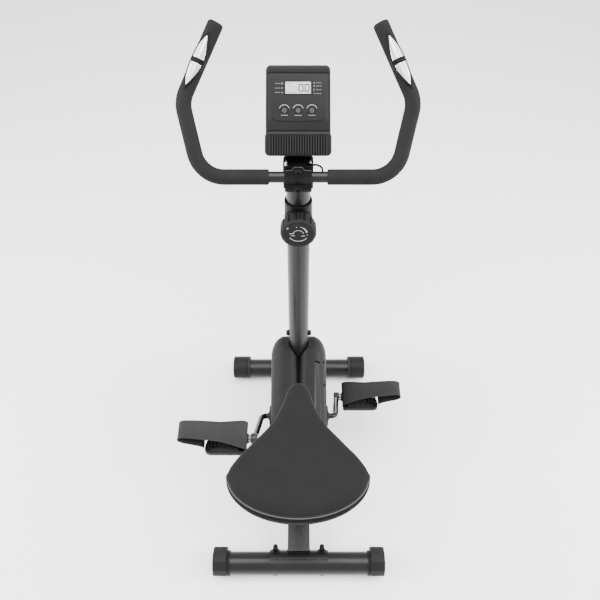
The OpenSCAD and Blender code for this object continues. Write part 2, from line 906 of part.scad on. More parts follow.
module pedal_strap_left() color("#505052") at_pedal(-1) pedal_strap();
module pedal_strap_right() color("#505052") at_pedal(1) pedal_strap();

// -------------------------------------------------------- mast and tension

// Saddle on the rider's side of the mast that the handlebar lies in
module bar_seat()
    difference() {
        translate([-clamp_half, bar_out + air, bar_at - clamp_h])
            cube([2 * clamp_half, -bar_out - 20 - air, 2 * clamp_h - 4]);
        x_rod(-clamp_half - 1, clamp_half + 1, bar_r + running_fit, bar_out, bar_at);
        translate([-cheek_in, bar_out + 3, bar_at + 13]) cube([2 * cheek_in, 40, 40]);
        for (s = [-1, 1])
            y_rod(-60, -10, clamp_bolt_r + bolt_play, bar_at + s * clamp_bolt_at);
    }

// Upright cheeks on both sides of the mast's top
module bar_cheeks()
    both_sides() difference() {
        translate([cheek_in, bar_out + 3, bar_at])
            cube([clamp_half - cheek_in, cheek_deep, cheek_high]);
        x_rod(0, clamp_half + 1, bar_r + running_fit, bar_out, bar_at);
    }

module mast()
    color("#1d1d1f") {
        at_mast() difference() {
            union() {
                translate([0, 0, mast_from]) cylinder(r = mast_r, h = mast_to - mast_from);
                difference() {
                    union() {
                        bar_seat();
                        bar_cheeks();
                    }
                    translate([0, 0, mast_from])
                        cylinder(r = mast_r - 1, h = mast_to - mast_from);
                }
            }
            translate([0, 0, mast_from - 1])
                cylinder(r = mast_r - mast_wall, h = mast_to - mast_from - 2);
            translate([-40, 0, mast_bolt_at]) rotate([0, 90, 0])
                cylinder(r = 4 + bolt_play, h = 80);
            translate([10, -4, 462]) rotate([0, 90, 0]) cylinder(r = 3, h = 40);
            for (s = [-1, 1])
                y_rod(-30, -15, clamp_bolt_r + bolt_play, bar_at + s * clamp_bolt_at);
            y_rod(-40, -15, stem_r + running_fit, knob_at);
        }
        difference() {
            at_console() translate([-28, -16, -console_depth - 3]) cube([56, 90, 3]);
            at_mast() translate([0, 0, mast_from]) cylinder(r = mast_r - 1, h = mast_to - mast_from - 4);
        }
    }

// Two bolts with shaped washers that fix the mast to the stub
module mast_bolts()
    color("#19191b") at_mast() both_sides() {
        translate([stub_r - tube_wall - 4, 0, mast_bolt_at]) rotate([0, 90, 0])
            cylinder(r = 4, h = mast_r - stub_r + tube_wall + 7);
        translate([mast_r, 0, mast_bolt_at]) rotate([0, 90, 0]) cylinder(r = 8, h = 2);
        translate([mast_r + 2, 0, mast_bolt_at]) rotate([0, 90, 0])
            cylinder(r = 7, h = 5, $fn = 6);
    }

module tension_base()
    color("#2b2b2d") at_mast() difference() {
        union() {
            translate([0, 0, collar_from]) cylinder(r = collar_r, h = collar_to - collar_from);
            y_rod(knob_from + air, -10, 30, knob_at + 4);
        }
        translate([0, 0, collar_from - 20]) cylinder(r = mast_r, h = 120);
        y_rod(knob_from - 1, -10, stem_r + running_fit, knob_at);
    }

module tension_knob()
    color("#2b2b2d") at_mast() {
        y_rod(knob_from - knob_len, knob_from - knob_len + 3, knob_r - 2, knob_at);
        y_rod(knob_from - knob_len + 3, knob_from, knob_r, knob_at);
        y_rod(knob_from, -mast_r + mast_wall + 3, stem_r, knob_at);
    }

// --------------------------------------------------------------- handlebar

// A pipe along +X from the origin
module pipe(len, outer, inner)
    rotate([0, 90, 0]) difference() {
        cylinder(r = outer, h = len);
        translate([0, 0, -1]) cylinder(r = inner, h = len + 2);
    }

// A pipe along X, centred on the origin
module pipe_across(half, outer, inner)
    translate([-half, 0, 0]) pipe(2 * half, outer, inner);

// A bend that starts at the origin along +X and turns towards +Y
module elbow(angle, outer, inner)
    translate([0, bend_r, 0]) rotate([0, 0, -90])
        rotate_extrude(angle = angle) translate([bend_r, 0]) difference() {
            circle(outer - bend_step);
            circle(inner + bend_step);
        }

module after_elbow(angle)
    translate([bend_r * sin(angle), bend_r * (1 - cos(angle)), 0])
        rotate([0, 0, angle]) children();

// Moves its children to the start of the upper straight of the right half
module at_upper_run()
    translate([run_low, 0, 0]) after_elbow(turn_low)
        translate([run_mid, 0, 0]) after_elbow(turn_high) children();

// The right half of the bar's route, from a given distance off the middle.
// Each straight laps a little into the bends, whose walls are a hair thinner.
module half_bar(outer, inner, start) {
    translate([start, 0, 0]) pipe(run_low + bend_lap - start, outer, inner);
    translate([run_low, 0, 0]) {
        elbow(turn_low, outer, inner);
        after_elbow(turn_low) {
            translate([-bend_lap, 0, 0]) pipe(run_mid + 2 * bend_lap, outer, inner);
            translate([run_mid, 0, 0]) elbow(turn_high, outer, inner);
        }
    }
    at_upper_run() translate([-bend_lap, 0, 0]) pipe(run_high + bend_lap, outer, inner);
}

module handlebar_tube()
    color("#1d1d1f") at_bar() difference() {
        union() {
            pipe_across(run_low, bar_r, bar_r - bar_wall);
            both_sides() half_bar(bar_r, bar_r - bar_wall, run_low - bend_lap);
        }
        translate([cable_slot_x, 0, 0]) rotate([90, 0, 90])
            rotate([0, 0, 90 - mast_lean - bar_rise - cable_slot_angle / 2])
                rotate_extrude(angle = cable_slot_angle) translate([bar_r - 4, 0])
                    square([8, cable_slot_w]);
    }

// Almond outline that is flat along the bar
module almond(half_len, half_w) {
    r = (half_len * half_len + half_w * half_w) / (2 * half_w);
    intersection() {
        translate([0, r - half_w]) circle(r, $fn = 96);
        translate([0, half_w - r]) circle(r, $fn = 96);
    }
}

// Almond-shaped pad on the rider's outer side of the upper straight
module sensor_pad(half_len, half_w, outer, inner)
    at_upper_run() rotate([sensor_face, 0, 0]) intersection() {
        translate([sensor_at, 0, 0]) linear_extrude(outer + 2) almond(half_len, half_w);
        pipe(run_high, outer, inner);
    }

module grip(side)
    color("#39393b") at_bar() on_side(side) {
        difference() {
            half_bar(grip_r, bar_r, grip_from);
            at_upper_run() rotate([sensor_face, 0, 0])
                translate([sensor_at, 0, 0]) linear_extrude(30) almond(sensor_half, sensor_half_w);
        }
        at_upper_run() translate([run_high, 0, 0]) rotate([0, 90, 0])
            cylinder(r = grip_r, h = grip_end);
    }

module grip_left() grip(-1);
module grip_right() grip(1);

module plate_gap()
    at_upper_run() rotate([sensor_face, 0, 0])
        translate([sensor_at - plate_gap_w / 2, -30, 0]) cube([plate_gap_w, 60, 40]);

module sensor_plates()
    difference() {
        sensor_pad(plate_half, plate_half_w, sensor_r + 0.3, sensor_r + 0.3 - plate_t);
        plate_gap();
    }

module sensor_housing(side)
    color("#2f2f31") at_bar() on_side(side) difference() {
        sensor_pad(sensor_half, sensor_half_w, sensor_r, bar_r);
        sensor_plates();
    }

module sensor_housing_left() sensor_housing(-1);
module sensor_housing_right() sensor_housing(1);
module electrode_plates() color("#d9dadc") at_bar() both_sides() sensor_plates();

// Folded plate that holds the handlebar in its saddle
// Flat plate across the bar's front, with a raised middle and two returns under the bar
module clamp_plate() {
    back = bar_out - bar_r - running_fit;
    color("#1d1d1f") at_mast() difference() {
        union() {
            translate([0, back, bar_at]) rotate([90, 0, 0]) linear_extrude(clamp_t) polygon([
                [-plate_half_x, -clamp_h], [plate_half_x, -clamp_h], [plate_half_x, clamp_h - 11],
                [plate_half_x - 15, clamp_h], [15 - plate_half_x, clamp_h],
                [-plate_half_x, clamp_h - 11]
            ]);
            both_sides() translate([plate_half_x - clamp_t, back - 1, bar_at - clamp_h])
                cube([clamp_t, bar_out - air - back + 1, clamp_h - bar_r - 1]);
        }
        for (s = [-1, 1])
            y_rod(-80, -10, clamp_bolt_r + bolt_play, bar_at + s * clamp_bolt_at);
    }
}

module clamp_bolts() {
    face = bar_out - bar_r - running_fit - clamp_t;
    color("#101012") at_mast() for (s = [-1, 1]) {
        y_rod(face, -19, clamp_bolt_r, bar_at + s * clamp_bolt_at);
        y_rod(face - 5, face, 6.5, bar_at + s * clamp_bolt_at);
    }
}

module pulse_cable() color("#101012") at_mast() cord(pulse_route, pulse_r, [-1, -1, 1]);

// ----------------------------------------------------------------- console

module console_front()
    color("#2d2d2f") at_console() difference() {
        union() {
            translate([0, 0, -console_split]) linear_extrude(console_split)
                rounded_rect(console_w, console_h, console_corner);
            translate([0, 0, -console_split]) linear_extrude(console_split + lip_out)
                rounded_rect(console_w + 2, lip_h, console_corner / 3);
        }
        translate([0, console_wall, -console_split - 1]) linear_extrude(console_split + 1 - console_wall)
            rounded_rect(
                console_w - 2 * console_wall, console_h - 2 * console_wall,
                console_corner - console_wall
            );
        translate([-lcd_w / 2, lcd_at - lcd_h / 2, -console_wall - 1]) cube([lcd_w, lcd_h, 10]);
        for (i = [-1:1])
            translate([i * button_pitch, button_at, -10]) cylinder(r = button_r + air, h = 20);
    }

module console_back()
    color("#2d2d2f") at_console() difference() {
        translate([0, 0, -console_depth]) linear_extrude(console_depth - console_split)
            rounded_rect(console_w, console_h, console_corner);
        translate([0, console_wall, -console_depth + console_wall]) linear_extrude(console_depth)
            rounded_rect(
                console_w - 2 * console_wall, console_h - 2 * console_wall,
                console_corner - console_wall
            );
    }

module display_screen()
    color("#b9bdb8") at_console()
        translate([-lcd_w / 2 - 3, lcd_at - lcd_h / 2 - 3, -console_wall - 3])
            cube([lcd_w + 6, lcd_h + 6, 3]);

module circuit_board()
    color("#1f5a34") at_console() translate([-50, button_at - 22, -12]) cube([100, 90, 1.6]);

module button(i)
    color("#343436") at_console() translate([i * button_pitch, button_at, 0]) {
        translate([0, 0, -7]) cylinder(r = button_r, h = 8.2);
        translate([0, 0, -7]) cylinder(r = button_r + 1.5, h = 2);
    }

module button_left() button(-1);
module button_middle() button(0);
module button_right() button(1);

// -------------------------------------------------------------------- seat

module seat_post()
    color("#1d1d1f") difference() {
        union() {
            difference() {
                at_seat() translate([0, 0, post_from]) cylinder(r = post_r, h = 450);
                translate([-60, saddle_post_y - 80, saddle_plate_z]) cube([120, 160, 200]);
            }
            translate([-32, saddle_post_y - 52, saddle_plate_z]) cube([64, 104, saddle_plate_t]);
        }
        difference() {
            at_seat() translate([0, 0, post_from - 1]) cylinder(r = post_r - tube_wall, h = 460);
            translate([-60, saddle_post_y - 80, saddle_plate_z]) cube([120, 160, 200]);
        }
        for (k = [-4:3])
            at_seat() y_rod(-40, -10, pin_r + running_fit, pin_at + k * hole_step);
        for (p = saddle_studs)
            translate([p[0], saddle_post_y + p[1], saddle_plate_z - 30]) cylinder(r = 4.1, h = 40);
    }

module seat_bushing()
    color("#2b2b2d") at_seat() difference() {
        union() {
            translate([0, 0, seat_tube_len - bushing_len])
                cylinder(r = seat_tube_r - tube_wall, h = bushing_len);
            translate([0, 0, seat_tube_len]) cylinder(r = seat_tube_r, h = 5);
        }
        translate([0, 0, seat_tube_len - bushing_len - 1])
            cylinder(r = post_r + running_fit, h = bushing_len + 10);
        y_rod(-40, -10, pin_r + air, pin_at);
    }

module seat_pin()
    color("#232325") at_seat() {
        y_rod(-60, -post_r - 0.4, pin_r, pin_at);
        y_rod(-50, -seat_tube_r - 12 - air, 11, pin_at);
        y_rod(-66, -50, 20, pin_at);
    }

module saddle_nuts()
    color("#8c8f94") for (p = saddle_studs)
        translate([p[0], saddle_post_y + p[1], 0]) {
            translate([0, 0, saddle_plate_z - 12]) cylinder(r = 4, h = 14 + saddle_plate_t);
            translate([0, 0, saddle_plate_z - 8]) cylinder(r = 7.5, h = 8, $fn = 6);
        }

// Half-width of the saddle at y, with its edge drawn in by inset
function saddle_half(y, inset) =
    let (nose = saddle_nose_y - inset, back = saddle_back_y + inset)
    y < saddle_wide_y
    ? (saddle_w / 2 - inset)
        * sqrt(max(0, 1 - pow((saddle_wide_y - y) / (saddle_wide_y - back), 2)))
    : let (
        side = saddle_w / 2 * lookup(saddle_nose_y - y, saddle_sides) - inset,
        tip = max(0, y - (nose - nose_round)) / nose_round
    )
    side * sqrt(max(0, 1 - tip * tip));

// Values of Y along the saddle, closer together towards its two ends
function saddle_ys(inset) =
    let (nose = saddle_nose_y - inset, back = saddle_back_y + inset)
    [for (i = [0:saddle_steps]) back + (nose - back) * (0.5 - 0.5 * cos(180 * i / saddle_steps))];
function saddle_ring(inset) = concat(
    [for (y = saddle_ys(inset)) [saddle_half(y, inset), y]],
    [for (i = [saddle_steps - 1:-1:1])
        let (y = saddle_ys(inset)[i]) [-saddle_half(y, inset), y]]
);

module saddle_base()
    color("#1f1f21") difference() {
        translate([0, 0, saddle_base_z]) linear_extrude(saddle_base_t) polygon(saddle_ring(10));
        for (p = saddle_studs)
            translate([p[0], saddle_post_y + p[1], saddle_base_z - 1]) cylinder(r = 4, h = 7);
    }

// Closed cushion: rings of the outline, each at its own inset and height
module saddle_cushion() {
    bottom = saddle_base_z + saddle_base_t;
    tall = saddle_top - bottom;
    rings = [
        [9, 0], [4, 0.1], [1, 0.26], [0, 0.45], [0.3, 0.6], [1.4, 0.69], [4.5, 0.78],
        [10, 0.87], [17, 0.95], [23.5, 1]
    ];
    n = 2 * saddle_steps;
    last = len(rings) - 1;
    color("#4a4a4c") polyhedron(
        points = [for (g = rings) for (p = saddle_ring(g[0])) [p[0], p[1], bottom + tall * g[1]]],
        faces = concat(
            [[for (k = [0:n - 1]) k]],
            [[for (k = [n - 1:-1:0]) last * n + k]],
            [for (i = [0:last - 1], k = [0:n - 1])
                [i * n + k, (i + 1) * n + k, (i + 1) * n + (k + 1) % n, i * n + (k + 1) % n]]
        )
    );
}

main_frame();
rear_stabilizer();
front_stabilizer();
rear_cap_left();
rear_cap_right();
front_cap_left();
front_cap_right();
transport_wheel_left();
transport_wheel_right();
stabilizer_bolts();
acorn_nuts();
curved_washers();
housing_left();
housing_right();
housing_screws();
bearing_cups();
crank();
bearing_cones();
crank_discs();
drive_pulley();
drive_belt();
flywheel();
flywheel_bearings();
flywheel_axle();
axle_nuts();
brake_arm();
brake_magnets();
brake_spring();
tension_cable();
pedal_spindles();
pedal_body_left();
pedal_body_right();
pedal_strap_left();
pedal_strap_right();
mast();
mast_bolts();
tension_base();
tension_knob();
handlebar_tube();
grip_left();
grip_right();
sensor_housing_left();
sensor_housing_right();
electrode_plates();
clamp_plate();
clamp_bolts();
pulse_cable();
console_front();
console_back();
display_screen();
circuit_board();
button_left();
button_middle();
button_right();
seat_post();
seat_bushing();
saddle_base();
saddle_cushion();
seat_pin();
saddle_nuts();
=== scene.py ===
"""Looks of an upright exercise bike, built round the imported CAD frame.

X is across the bike, Y forwards and Z up. Shapes are drawn in millimetres, each in the frame of
the part it belongs to, and piece() turns them into metres. Each section makes one group of pieces.
"""

import json
import math
import random

import bmesh
import bpy
from mathutils import Matrix, Vector
from mathutils.bvhtree import BVHTree


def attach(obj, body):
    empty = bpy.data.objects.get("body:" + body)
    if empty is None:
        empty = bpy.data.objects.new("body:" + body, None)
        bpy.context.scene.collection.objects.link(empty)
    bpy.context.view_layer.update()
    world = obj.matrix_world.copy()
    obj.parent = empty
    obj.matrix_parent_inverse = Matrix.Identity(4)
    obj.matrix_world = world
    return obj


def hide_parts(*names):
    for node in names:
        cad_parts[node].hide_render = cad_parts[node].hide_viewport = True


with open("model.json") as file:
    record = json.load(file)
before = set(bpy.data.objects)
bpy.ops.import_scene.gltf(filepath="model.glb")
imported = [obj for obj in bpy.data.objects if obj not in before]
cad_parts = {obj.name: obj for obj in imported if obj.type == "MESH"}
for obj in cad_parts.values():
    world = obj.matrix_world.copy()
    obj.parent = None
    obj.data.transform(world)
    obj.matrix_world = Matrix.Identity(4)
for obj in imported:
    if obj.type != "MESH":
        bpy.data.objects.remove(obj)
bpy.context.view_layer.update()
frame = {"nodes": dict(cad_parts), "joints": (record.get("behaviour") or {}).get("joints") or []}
NODES = frame["nodes"]
JOINTS = {j["name"]: j for j in frame["joints"]}
MM = 0.001
SCALE = Matrix.Scale(MM, 4)


def joint_pos(name):
    return Vector(JOINTS[name]["pos_m"])


def joint_axis(name):
    return Vector(JOINTS[name]["axis"]).normalized()


# Places and directions that the frame gives
CRANK = joint_pos("crank_spin")
PEDALS = {"left": joint_pos("pedal_left_spin"), "right": joint_pos("pedal_right_spin")}
BAR = joint_pos("handlebar_tilt")
KNOB = joint_pos("tension_knob_turn")
KNOB_IN = joint_axis("tension_knob_turn")
PRESS = joint_axis("button_middle_press")
SEAT_UP = joint_axis("seat_slide")
MAST_LEAN = math.atan2(-KNOB_IN.z, KNOB_IN.y)
SEAT_LEAN = math.atan2(-SEAT_UP.y, SEAT_UP.z)
CONSOLE_TURN = math.atan2(PRESS.y, -PRESS.z)
BAR_RISE = math.radians(47.8)
WHEELBASE = 0.620
REAR_Y = joint_pos("rear_cap_left_turn").y
FRONT_Y = REAR_Y + WHEELBASE
FLOOR_TUBE_Z = joint_pos("rear_cap_left_turn").z
SIDES = {"left": -1, "right": 1}


# ------------------------------------------------------------------ camera, floor, light

CAMERA_AT = (0.0035, REAR_Y - 0.491, 1.883)
CAMERA_DOWN = math.radians(53.0)
CAMERA_LENS = 38.8


def make_camera():
    data = bpy.data.cameras.new("camera")
    data.lens, data.sensor_width = CAMERA_LENS, 36.0
    data.clip_start, data.clip_end = 0.05, 100
    cam = bpy.data.objects.new("camera", data)
    cam.location = CAMERA_AT
    cam.rotation_euler = (math.pi / 2 - CAMERA_DOWN, 0, 0)
    bpy.context.scene.collection.objects.link(cam)
    bpy.context.scene.camera = cam


def area_light(name, at, aim, size, power):
    data = bpy.data.lights.new(name, "AREA")
    data.shape, data.size, data.size_y, data.energy = "RECTANGLE", size[0], size[1], power
    lamp = bpy.data.objects.new(name, data)
    lamp.location = at
    lamp.rotation_mode = "QUATERNION"
    lamp.rotation_quaternion = (Vector(aim) - Vector(at)).to_track_quat("-Z", "Y")
    bpy.context.scene.collection.objects.link(lamp)


def make_studio():
    world = bpy.data.worlds.new("studio")
    world.use_nodes = True
    world.node_tree.nodes["Background"].inputs["Color"].default_value = (1, 1, 1, 1)
    world.node_tree.nodes["Background"].inputs["Strength"].default_value = 1.9
    bpy.context.scene.world = world
    area_light("top_box", (0, 0.1, 2.9), (0, 0, 0.4), (2.0, 2.0), 110)
    area_light("left_box", (-2.3, -0.2, 1.5), (0, 0, 0.7), (1.0, 2.4), 135)
    area_light("right_box", (2.3, -0.2, 1.5), (0, 0, 0.7), (1.0, 2.4), 135)
    bpy.ops.mesh.primitive_plane_add(size=60, location=(0, 0, 0))
    floor = bpy.context.object
    floor.name = "floor"
    floor.data.materials.append(MATERIALS["floor"])


# ------------------------------------------------------------------------------ materials

MATERIALS = {}


def grey(v, tint=0.0):
    return (v, v, v * (1 + tint), 1)


def add_node(mat, kind, **inputs):
    """A shader node. An input's name has _ for a space, and its value is a number or a socket."""
    node = mat.node_tree.nodes.new("ShaderNode" + kind)
    for key, value in inputs.items():
        socket = node.inputs[key.replace("_", " ")]
        if isinstance(value, bpy.types.NodeSocket):
            mat.node_tree.links.new(value, socket)
        else:
            socket.default_value = value
    return node


ROUGH_DRIFT = 0.08
WORN_GREY = 0.35
AO_SAMPLES = 6


def surface(name, base, rough, *, spread=0.12, grain="noise", grain_size=0.4, depth=0.02,
            metallic=0.0, coat=0.0, stretch=(1, 1, 1), wear=0.0, specular=0.08, shade=1.0,
            hollow_shade=0.0):
    """A finish with its own colour drift, roughness drift and surface grain.

    grain is noise, pores or pebble; grain_size is the size of a grain in millimetres and depth
    is how deep it goes, in millimetres. wear lightens the edges. shade is painted shade: how much
    of its colour is left on faces that look sideways or down. The last argument paints shade into
    hollows, such as the housing's valley, darkening them by occlusion that many millimetres around.
    """
    mat = bpy.data.materials.new(name)
    mat.use_nodes = True
    shader = mat.node_tree.nodes["Principled BSDF"]
    for key, value in (("Metallic", metallic), ("Coat Weight", coat), ("Coat Roughness", 0.12),
                       ("Specular IOR Level", specular)):
        shader.inputs[key].default_value = value
    mapping = add_node(mat, "Mapping", Vector=add_node(mat, "TexCoord").outputs["Object"],
                       Scale=stretch).outputs["Vector"]

    drift = add_node(mat, "TexNoise", Vector=mapping, Scale=28, Detail=4)
    ramp = add_node(mat, "ValToRGB", Fac=drift.outputs["Fac"])
    for element, position, k in zip(ramp.color_ramp.elements, (0.3, 0.7), (1 - spread, 1 + spread)):
        element.position = position
        element.color = [c * k for c in base[:3]] + [1]
    colour = ramp.outputs["Color"]
    if wear:
        edge = add_node(mat, "MapRange", Value=add_node(mat, "NewGeometry").outputs["Pointiness"],
                        From_Min=0.52, From_Max=0.62, To_Max=wear)
        worn = add_node(mat, "Mix")
        worn.data_type = "RGBA"
        worn.inputs["B"].default_value = grey(WORN_GREY)
        mat.node_tree.links.new(edge.outputs["Result"], worn.inputs["Factor"])
        mat.node_tree.links.new(colour, worn.inputs["A"])
        colour = worn.outputs["Result"]
    # Painted shade: faces that look sideways or down keep only part of their colour.
    if shade < 1:
        facing = add_node(mat, "SeparateXYZ", Vector=add_node(mat, "NewGeometry").outputs["Normal"])
        dim = add_node(mat, "MapRange", Value=facing.outputs["Z"], From_Min=0.1, From_Max=0.45,
                       To_Min=shade)
        scale = add_node(mat, "VectorMath")
        scale.operation = "SCALE"
        mat.node_tree.links.new(colour, scale.inputs["Vector"])
        mat.node_tree.links.new(dim.outputs["Result"], scale.inputs["Scale"])
        colour = scale.outputs["Vector"]
    # Painted shade: ambient occlusion darkens the colour in hollows.
    if hollow_shade:
        hollow = add_node(mat, "AmbientOcclusion", Color=colour, Distance=hollow_shade * MM)
        hollow.samples = AO_SAMPLES
        colour = hollow.outputs["Color"]
    mat.node_tree.links.new(colour, shader.inputs["Base Color"])

    smear = add_node(mat, "TexNoise", Vector=mapping, Scale=75, Detail=6)
    rough_range = add_node(mat, "MapRange", Value=smear.outputs["Fac"],
                           To_Min=max(0.02, rough - ROUGH_DRIFT), To_Max=min(1, rough + ROUGH_DRIFT))
    mat.node_tree.links.new(rough_range.outputs["Result"], shader.inputs["Roughness"])

    cells = grain in ("pores", "pebble")
    if cells:
        fine = add_node(mat, "TexVoronoi", Vector=mapping)
        fine.feature = "F1" if grain == "pores" else "SMOOTH_F1"
    else:
        fine = add_node(mat, "TexNoise", Vector=mapping, Detail=3)
    fine.inputs["Scale"].default_value = 1 / (grain_size * MM)
    bump = add_node(mat, "Bump", Height=fine.outputs["Distance" if cells else "Fac"], Strength=1,
                    Distance=depth * MM)
    bump.invert = cells
    mat.node_tree.links.new(bump.outputs["Normal"], shader.inputs["Normal"])
    MATERIALS[name] = mat


def make_materials():
    surface("frame_paint", grey(0.005), 0.3, grain_size=1.4, depth=0.02, specular=0.25)
    surface("black_fastener", grey(0.003), 0.35, grain_size=0.5, depth=0.01, specular=0.1)
    surface("clamp_paint", grey(0.0025), 0.4, grain_size=1.4, depth=0.02)
    # A lighter grey for the painted highlight along the clamp plate's top edge.
    surface("clamp_edge_highlight", grey(0.05), 0.4, grain_size=1.4, depth=0.02)
    surface("cap_plastic", grey(0.006), 0.45, grain="pebble", grain_size=0.5, depth=0.02, wear=0.08)
    # The housing's hollows, such as the valley under the mast, are darkened by occlusion: painted
    # shade.
    surface("housing_plastic", grey(0.011, 0.02), 0.58, grain="pebble", grain_size=0.6, depth=0.015,
            spread=0.05, wear=0.1, hollow_shade=90)
    surface("collar_plastic", grey(0.003), 0.4, grain="pebble", grain_size=0.5, depth=0.02)
    surface("wheel_rubber", grey(0.012), 0.7, grain_size=0.6, depth=0.03)
    surface("bearing_steel", grey(0.4, 0.03), 0.26, metallic=1, grain_size=0.3, depth=0.004,
            stretch=(1, 8, 8), spread=0.06)
    surface("crank_paint", grey(0.004), 0.16, grain_size=1.8, depth=0.012, coat=0.03, wear=0.2,
            specular=0.15)
    surface("pulley_plastic", grey(0.012), 0.45, grain_size=0.5, depth=0.02)
    surface("belt_rubber", grey(0.006), 0.6, grain_size=0.5, depth=0.03, stretch=(4, 1, 1))
    surface("flywheel_iron", grey(0.1), 0.42, metallic=0.9, grain_size=0.5, depth=0.02,
            stretch=(5, 1, 1))
    surface("magnet", grey(0.06), 0.3, metallic=0.8, grain_size=0.4, depth=0.01)
    surface("cable_black", grey(0.005), 0.4, grain_size=0.6, depth=0.01)
    surface("pedal_plastic", grey(0.003), 0.42, grain="pebble", grain_size=0.5, wear=0.04)
    surface("strap_rubber", grey(0.019), 0.5, grain="pebble", grain_size=0.5, spread=0.08)
    surface("knob_plastic", grey(0.009), 0.42, grain="pebble", grain_size=0.45, depth=0.02)
    # A lighter grey for the painted highlight round the knob's face.
    surface("knob_rim", grey(0.025), 0.35, grain_size=0.4, depth=0.01)
    surface("grip_foam", grey(0.0095), 0.75, grain="pores", grain_size=0.55, depth=0.09, spread=0.1)
    surface("sensor_plastic", grey(0.004), 0.36, grain_size=0.6, depth=0.01)
    surface("electrode_metal", grey(0.8, 0.01), 0.24, metallic=1, grain_size=0.25, depth=0.004,
            spread=0.03, stretch=(9, 1, 1))
    surface("console_plastic", grey(0.01, 0.02), 0.48, grain="pebble", grain_size=0.42, depth=0.016,
            spread=0.05, wear=0.06)
    # Near black, for painted shade in the rib grooves and vents, painted shadow lines, and the door on
    # the back.
    surface("console_dark", grey(0.002), 0.5, grain="pebble", grain_size=0.42, depth=0.016)
    surface("screen_glass", grey(0.42, -0.02), 0.2, grain_size=2.5, depth=0.004, spread=0.03)
    surface("screen_ink", grey(0.012), 0.5, grain_size=0.5, depth=0.002)
    surface("board_green", (0.01, 0.08, 0.03, 1), 0.35, grain_size=0.6, depth=0.01)
    surface("button_plastic", grey(0.01, 0.02), 0.48, grain="pebble", grain_size=0.42, depth=0.016,
            spread=0.05)
    surface("bushing_plastic", grey(0.008), 0.5, grain_size=0.5, depth=0.02)
    surface("saddle_shell", grey(0.006), 0.5, grain="pebble", grain_size=0.7, depth=0.03)
    # The saddle's sides and underside are darkened to a twentieth of the vinyl's colour: painted shade.
    surface("saddle_vinyl", grey(0.0115), 0.5, grain="pebble", grain_size=0.95, depth=0.05,
            spread=0.05, shade=0.05, specular=0.012)
    surface("saddle_piping", grey(0.06), 0.4, grain="pebble", grain_size=0.7, depth=0.03)
    surface("stitching", grey(0.05), 0.7, grain_size=0.2, depth=0.04)
    surface("print_white", grey(0.3), 0.55, grain_size=0.3, depth=0.004, spread=0.06)
    surface("print_grey", grey(0.16), 0.55, grain_size=0.3, depth=0.004, spread=0.08)
    surface("weld", grey(0.005), 0.32, grain_size=2.2, depth=0.12, specular=0.15)
    for node in NODES.values():
        node.data.materials[0] = MATERIALS[node.data.materials[0].name.split(".")[0]]
    surface("floor", grey(0.9), 0.6, grain_size=8, depth=0.01, spread=0.004)


# ----------------------------------------------------------------------------- mesh tools


def place(points, matrix):
    return [matrix @ Vector(p) for p in points]


def piece(name, shape, finish, body, *, at=SCALE, stands_for=(), sharp=35, bevel=0.0, segments=2):
    """Makes one piece from (vertices, faces) in millimetres and lets it ride on a CAD body.

    at is the frame it's drawn in, and finish is the material. Edges that turn by more than sharp
    degrees stay crisp, and bevel rounds them first.
    """
    verts, faces = shape
    mesh = bpy.data.meshes.new(name)
    mesh.from_pydata([tuple(v) for v in place(verts, at)], [], faces)
    bm = bmesh.new()
    bm.from_mesh(mesh)
    bmesh.ops.remove_doubles(bm, verts=bm.verts, dist=1e-6)
    bmesh.ops.recalc_face_normals(bm, faces=bm.faces)
    if bevel:
        edges = [e for e in bm.edges
                 if len(e.link_faces) == 2 and e.calc_face_angle() > math.radians(sharp)]
        bmesh.ops.bevel(bm, geom=edges, offset=bevel * MM, segments=segments, profile=0.5,
                        affect="EDGES", clamp_overlap=True)
    for f in bm.faces:
        f.smooth = True
    for e in bm.edges:
        e.smooth = len(e.link_faces) != 2 or e.calc_face_angle() < math.radians(sharp)
    bm.to_mesh(mesh)
    bm.free()
    obj = bpy.data.objects.new(name, mesh)
    mesh.materials.append(MATERIALS[finish])
    bpy.context.scene.collection.objects.link(obj)
    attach(obj, body)
    if stands_for:
        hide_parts(*stands_for)
    return obj


def join(*shapes):
    verts, faces = [], []
    for v, f in shapes:
        base = len(verts)
        verts += [tuple(p) for p in v]
        faces += [[i + base for i in face] for face in f]
    return verts, faces


def moved(shape, matrix):
    return place(shape[0], matrix), shape[1]


def on_side(shape, side):
    """Shapes are drawn on the right, and mirrored for the left."""
    if side > 0:
        return shape
    return [(-p[0], p[1], p[2]) for p in shape[0]], [list(reversed(f)) for f in shape[1]]


def loft(rings, loop=False):
    """A closed skin over rings of the same number of points; loop joins the last to the first."""
    n, count = len(rings[0]), len(rings)
    verts = [tuple(p) for ring in rings for p in ring]
    faces = []
    for i in range(count if loop else count - 1):
        low, high = i * n, (i + 1) % count * n
        faces += [[low + k, low + (k + 1) % n, high + (k + 1) % n, high + k] for k in range(n)]
    if not loop:
        faces += [list(range(n))[::-1], [(count - 1) * n + k for k in range(n)]]
    return verts, faces


def circle(r, steps, start=0.0):
    angles = [start + 2 * math.pi * k / steps for k in range(steps)]
    return [(r * math.cos(a), r * math.sin(a)) for a in angles]


def lathe(profile, steps=64):
    """Turns (radius, height) points round Z. A radius of 0 closes an end."""
    rings = [[(x, y, h) for x, y in circle(max(r, 1e-5), steps)] for r, h in profile]
    return loft(rings)


def ring_lathe(profile, steps=64):
    """Turns a closed (radius, height) outline round Z, for a piece with a bore."""
    rings = [[(x, y, h) for x, y in circle(r, steps)] for r, h in profile]
    return loft(rings, loop=True)


def inset(outline, d):
    """Moves a closed, anticlockwise outline inwards by d along its own normals."""
    out, n = [], len(outline)
    for i, p in enumerate(outline):
        a, b = Vector(outline[i - 1]), Vector(outline[(i + 1) % n])
        t = (b - a).normalized()
        out.append((p[0] - t.y * d, p[1] + t.x * d))
    return out


